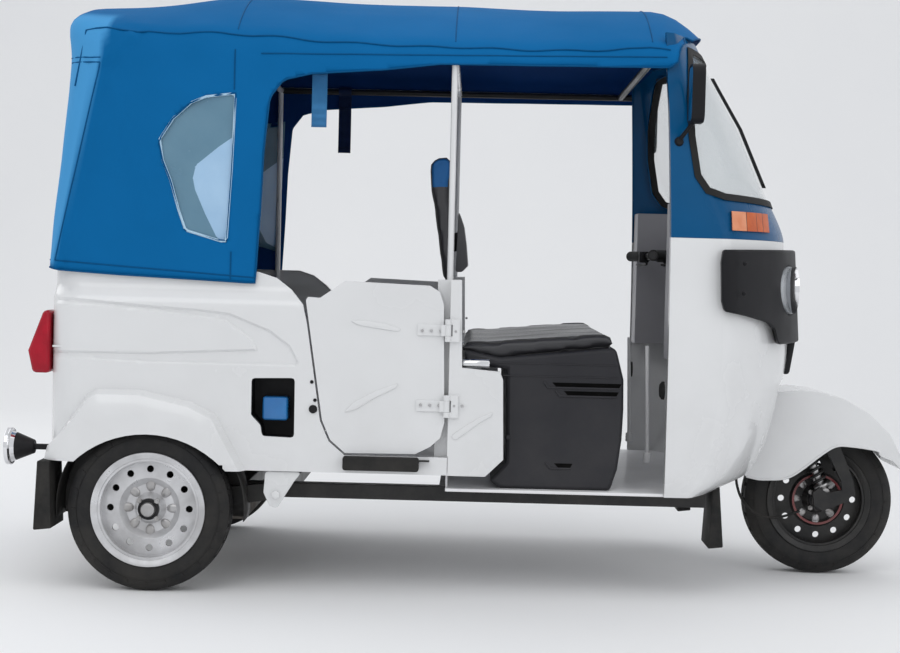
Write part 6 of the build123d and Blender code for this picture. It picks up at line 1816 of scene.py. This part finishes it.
# ---- stage
def build_stage():
    """Backdrop, lights, world and camera."""
    bm = bmesh.new()
    bmesh.ops.create_grid(bm, x_segments=1, y_segments=24, size=1.0)
    order = sorted(bm.verts, key=lambda v: (round(v.co.y, 5), round(v.co.x, 5)))
    for j in range(25):
        y = -7.0 + 12.0 * min(1.0, j / 8)
        z = 0.0
        if j > 8:
            a = math.radians(90 * (j - 8) / 16)
            y, z = 5.0 + 3.0 * math.sin(a), 3.0 * (1 - math.cos(a))
        for i in range(2):
            order[2 * j + i].co = (-14.0 + 28.0 * i, y, z)
    made = bmesh.ops.extrude_edge_only(bm, edges=[e for e in bm.edges if all(v.co.z > 2.99 for v in e.verts)])["geom"]
    bmesh.ops.translate(bm, verts=vertices(made), vec=(0, 0, 7))
    bmesh.ops.recalc_face_normals(bm, faces=bm.faces)
    mesh = bpy.data.meshes.new("backdrop")
    for face in bm.faces:
        face.smooth = True
    bm.to_mesh(mesh)
    bm.free()
    backdrop = placed("backdrop", mesh)
    mesh.materials.append(bpy.data.materials["Floor"])
    for name, place, aim, size, energy in (("key", (-1.5, -4.6, 5.2), (0, 0, 0.6), 4.5, 70),
            ("fill", (4.8, -4.0, 3.2), (0, 0, 0.8), 4.0, 45), ("top", (0.0, 0.4, 5.8), (0, 0, 0.9), 5.0, 34),
            ("rim", (-4.8, 2.4, 3.6), (0, 0, 0.9), 3.5, 40)):
        data = bpy.data.lights.new(name, "AREA")
        data.shape, data.size, data.energy = "SQUARE", size, energy
        lamp = placed(name, data)
        lamp.location = place
        lamp.rotation_euler = (Vector(aim) - Vector(place)).to_track_quat("-Z", "Y").to_euler()
    world = bpy.data.worlds.new("Studio")
    world.use_nodes = True
    sky = world.node_tree.nodes["Background"].inputs
    sky["Color"].default_value, sky["Strength"].default_value = (0.95, 0.97, 1.0, 1.0), 0.78
    bpy.context.scene.world = world
    yaw, pitch, roll = math.radians(0.86), math.radians(2.14), math.radians(1.36)
    ahead = Vector((-math.sin(yaw) * math.cos(pitch), math.cos(yaw) * math.cos(pitch), -math.sin(pitch)))
    right = ahead.cross((0, 0, 1)).normalized()
    up = right.cross(ahead)
    side = right * math.cos(roll) + up * math.sin(roll)
    over = -right * math.sin(roll) + up * math.cos(roll)
    data = bpy.data.cameras.new("camera")
    data.lens, data.sensor_width = 67.0, 36.0
    camera = placed("camera", data)
    turn = Matrix((side, over, -ahead)).transposed().to_4x4()
    camera.matrix_world = Matrix.Translation((0.0095, -5.38, 0.96)) @ turn
    bpy.context.scene.camera = camera
    bpy.context.scene.view_settings.view_transform = "Standard"


# ---- operators and panel
class PieceOperator(bpy.types.Operator):
    """Builds one group of pieces; kept as the base of the ones below."""

    bl_idname = "rickshaw.piece"
    bl_label = "Build Piece"
    bl_options = {"REGISTER", "UNDO"}

    def execute(self, context):
        self.build(context.scene)
        return {"FINISHED"}

    def build(self, scene):
        """Nothing to build in the base itself."""


def operator(idname, label, note, build):
    """An operator class that runs one builder."""
    return type(f"RICKSHAW_OT_{idname}", (PieceOperator,), {
        "bl_idname": f"rickshaw.{idname}", "bl_label": label, "__doc__": note,
        "build": lambda self, scene: build(scene)})


OPERATORS = (
    operator("materials", "Materials", "Makes every material of the vehicle and its backdrop",
             lambda s: build_materials(s.rickshaw_body, s.rickshaw_top, s.rickshaw_seats, s.rickshaw_wheels)),
    operator("chassis", "Chassis", "Dresses the chassis, doors and everything low down",
             lambda s: (build_chassis(), build_pivot_brackets(), build_doors(), build_engine_fins(),
                        build_mud_flaps(), build_step_treads())),
    operator("tub", "Tub", "Builds the rear tub",
             lambda s: (build_tub(s.rickshaw_body), build_tub_inside(), build_arch_liners(), build_lid_knuckles())),
    operator("cowl", "Cowl", "Builds the cowl and windscreen frame", lambda s: build_cowl(s.rickshaw_body)),
    operator("doors", "Door Marks", "Adds the pressings of the doors and side panels",
             lambda s: build_door_marks()),
    operator("front", "Front", "Builds lamps, grille, signals, windscreen parts, dash and mirrors",
             lambda s: (build_headlamps(), build_grille(), build_signals(), build_screen_parts(), build_dash(),
                        build_conduits(), build_instrument(), build_mirrors())),
    operator("wheels", "Wheels", "Builds tyres and rims", lambda s: build_wheels(s.rickshaw_wheels)),
    operator("steering", "Steering", "Builds the front guard, fork and handlebar",
             lambda s: (build_fender(), build_fork(), build_spring(), build_brake_cable(), build_hand_levers())),
    operator("lights", "Rear Lights", "Builds the lamps at the back", lambda s: build_rear_lights()),
    operator("soft_top", "Soft Top", "Builds the soft top, its windows and straps",
             lambda s: (build_soft_top(s.rickshaw_top), build_window_films(), build_hand_straps())),
    operator("seats", "Seats", "Stuffs the cushions and backrests and builds the seat base",
             lambda s: (build_seats(s.rickshaw_seats), build_lumbar_pad(), build_seat_base())),
    operator("stage", "Stage", "Sets up the backdrop, lights and camera", lambda s: build_stage()),
)


class RICKSHAW_PT_finish(bpy.types.Panel):
    """Sidebar panel with the settings and one button a group."""

    bl_idname = "RICKSHAW_PT_finish"
    bl_label = "Auto Rickshaw"
    bl_space_type = "VIEW_3D"
    bl_region_type = "UI"
    bl_category = "Rickshaw"

    def draw(self, context):
        for settings in (context.scene.rickshaw_body, context.scene.rickshaw_top, context.scene.rickshaw_seats,
                context.scene.rickshaw_wheels):
            box = self.layout.box()
            for key in settings.__annotations__:
                box.prop(settings, key)
        for item in OPERATORS:
            self.layout.operator(item.bl_idname)


SETTINGS = (("rickshaw_body", BodySettings), ("rickshaw_top", TopSettings), ("rickshaw_seats", SeatSettings),
        ("rickshaw_wheels", WheelSettings))
CLASSES = (*(group for _, group in SETTINGS), *OPERATORS, RICKSHAW_PT_finish)


def register():
    """Registers the classes and hangs the settings on the scene."""
    for cls in CLASSES:
        bpy.utils.register_class(cls)
    for name, group in SETTINGS:
        setattr(bpy.types.Scene, name, PointerProperty(type=group))


def unregister():
    """Removes the settings and the classes."""
    for name, _ in SETTINGS:
        delattr(bpy.types.Scene, name)
    for cls in reversed(CLASSES):
        bpy.utils.unregister_class(cls)


def main():
    """Builds the whole vehicle and notes its size before and after."""
    register()
    for item in OPERATORS:
        getattr(bpy.ops.rickshaw, item.bl_idname.split(".")[1])()


if __name__ == "__main__":
    main()
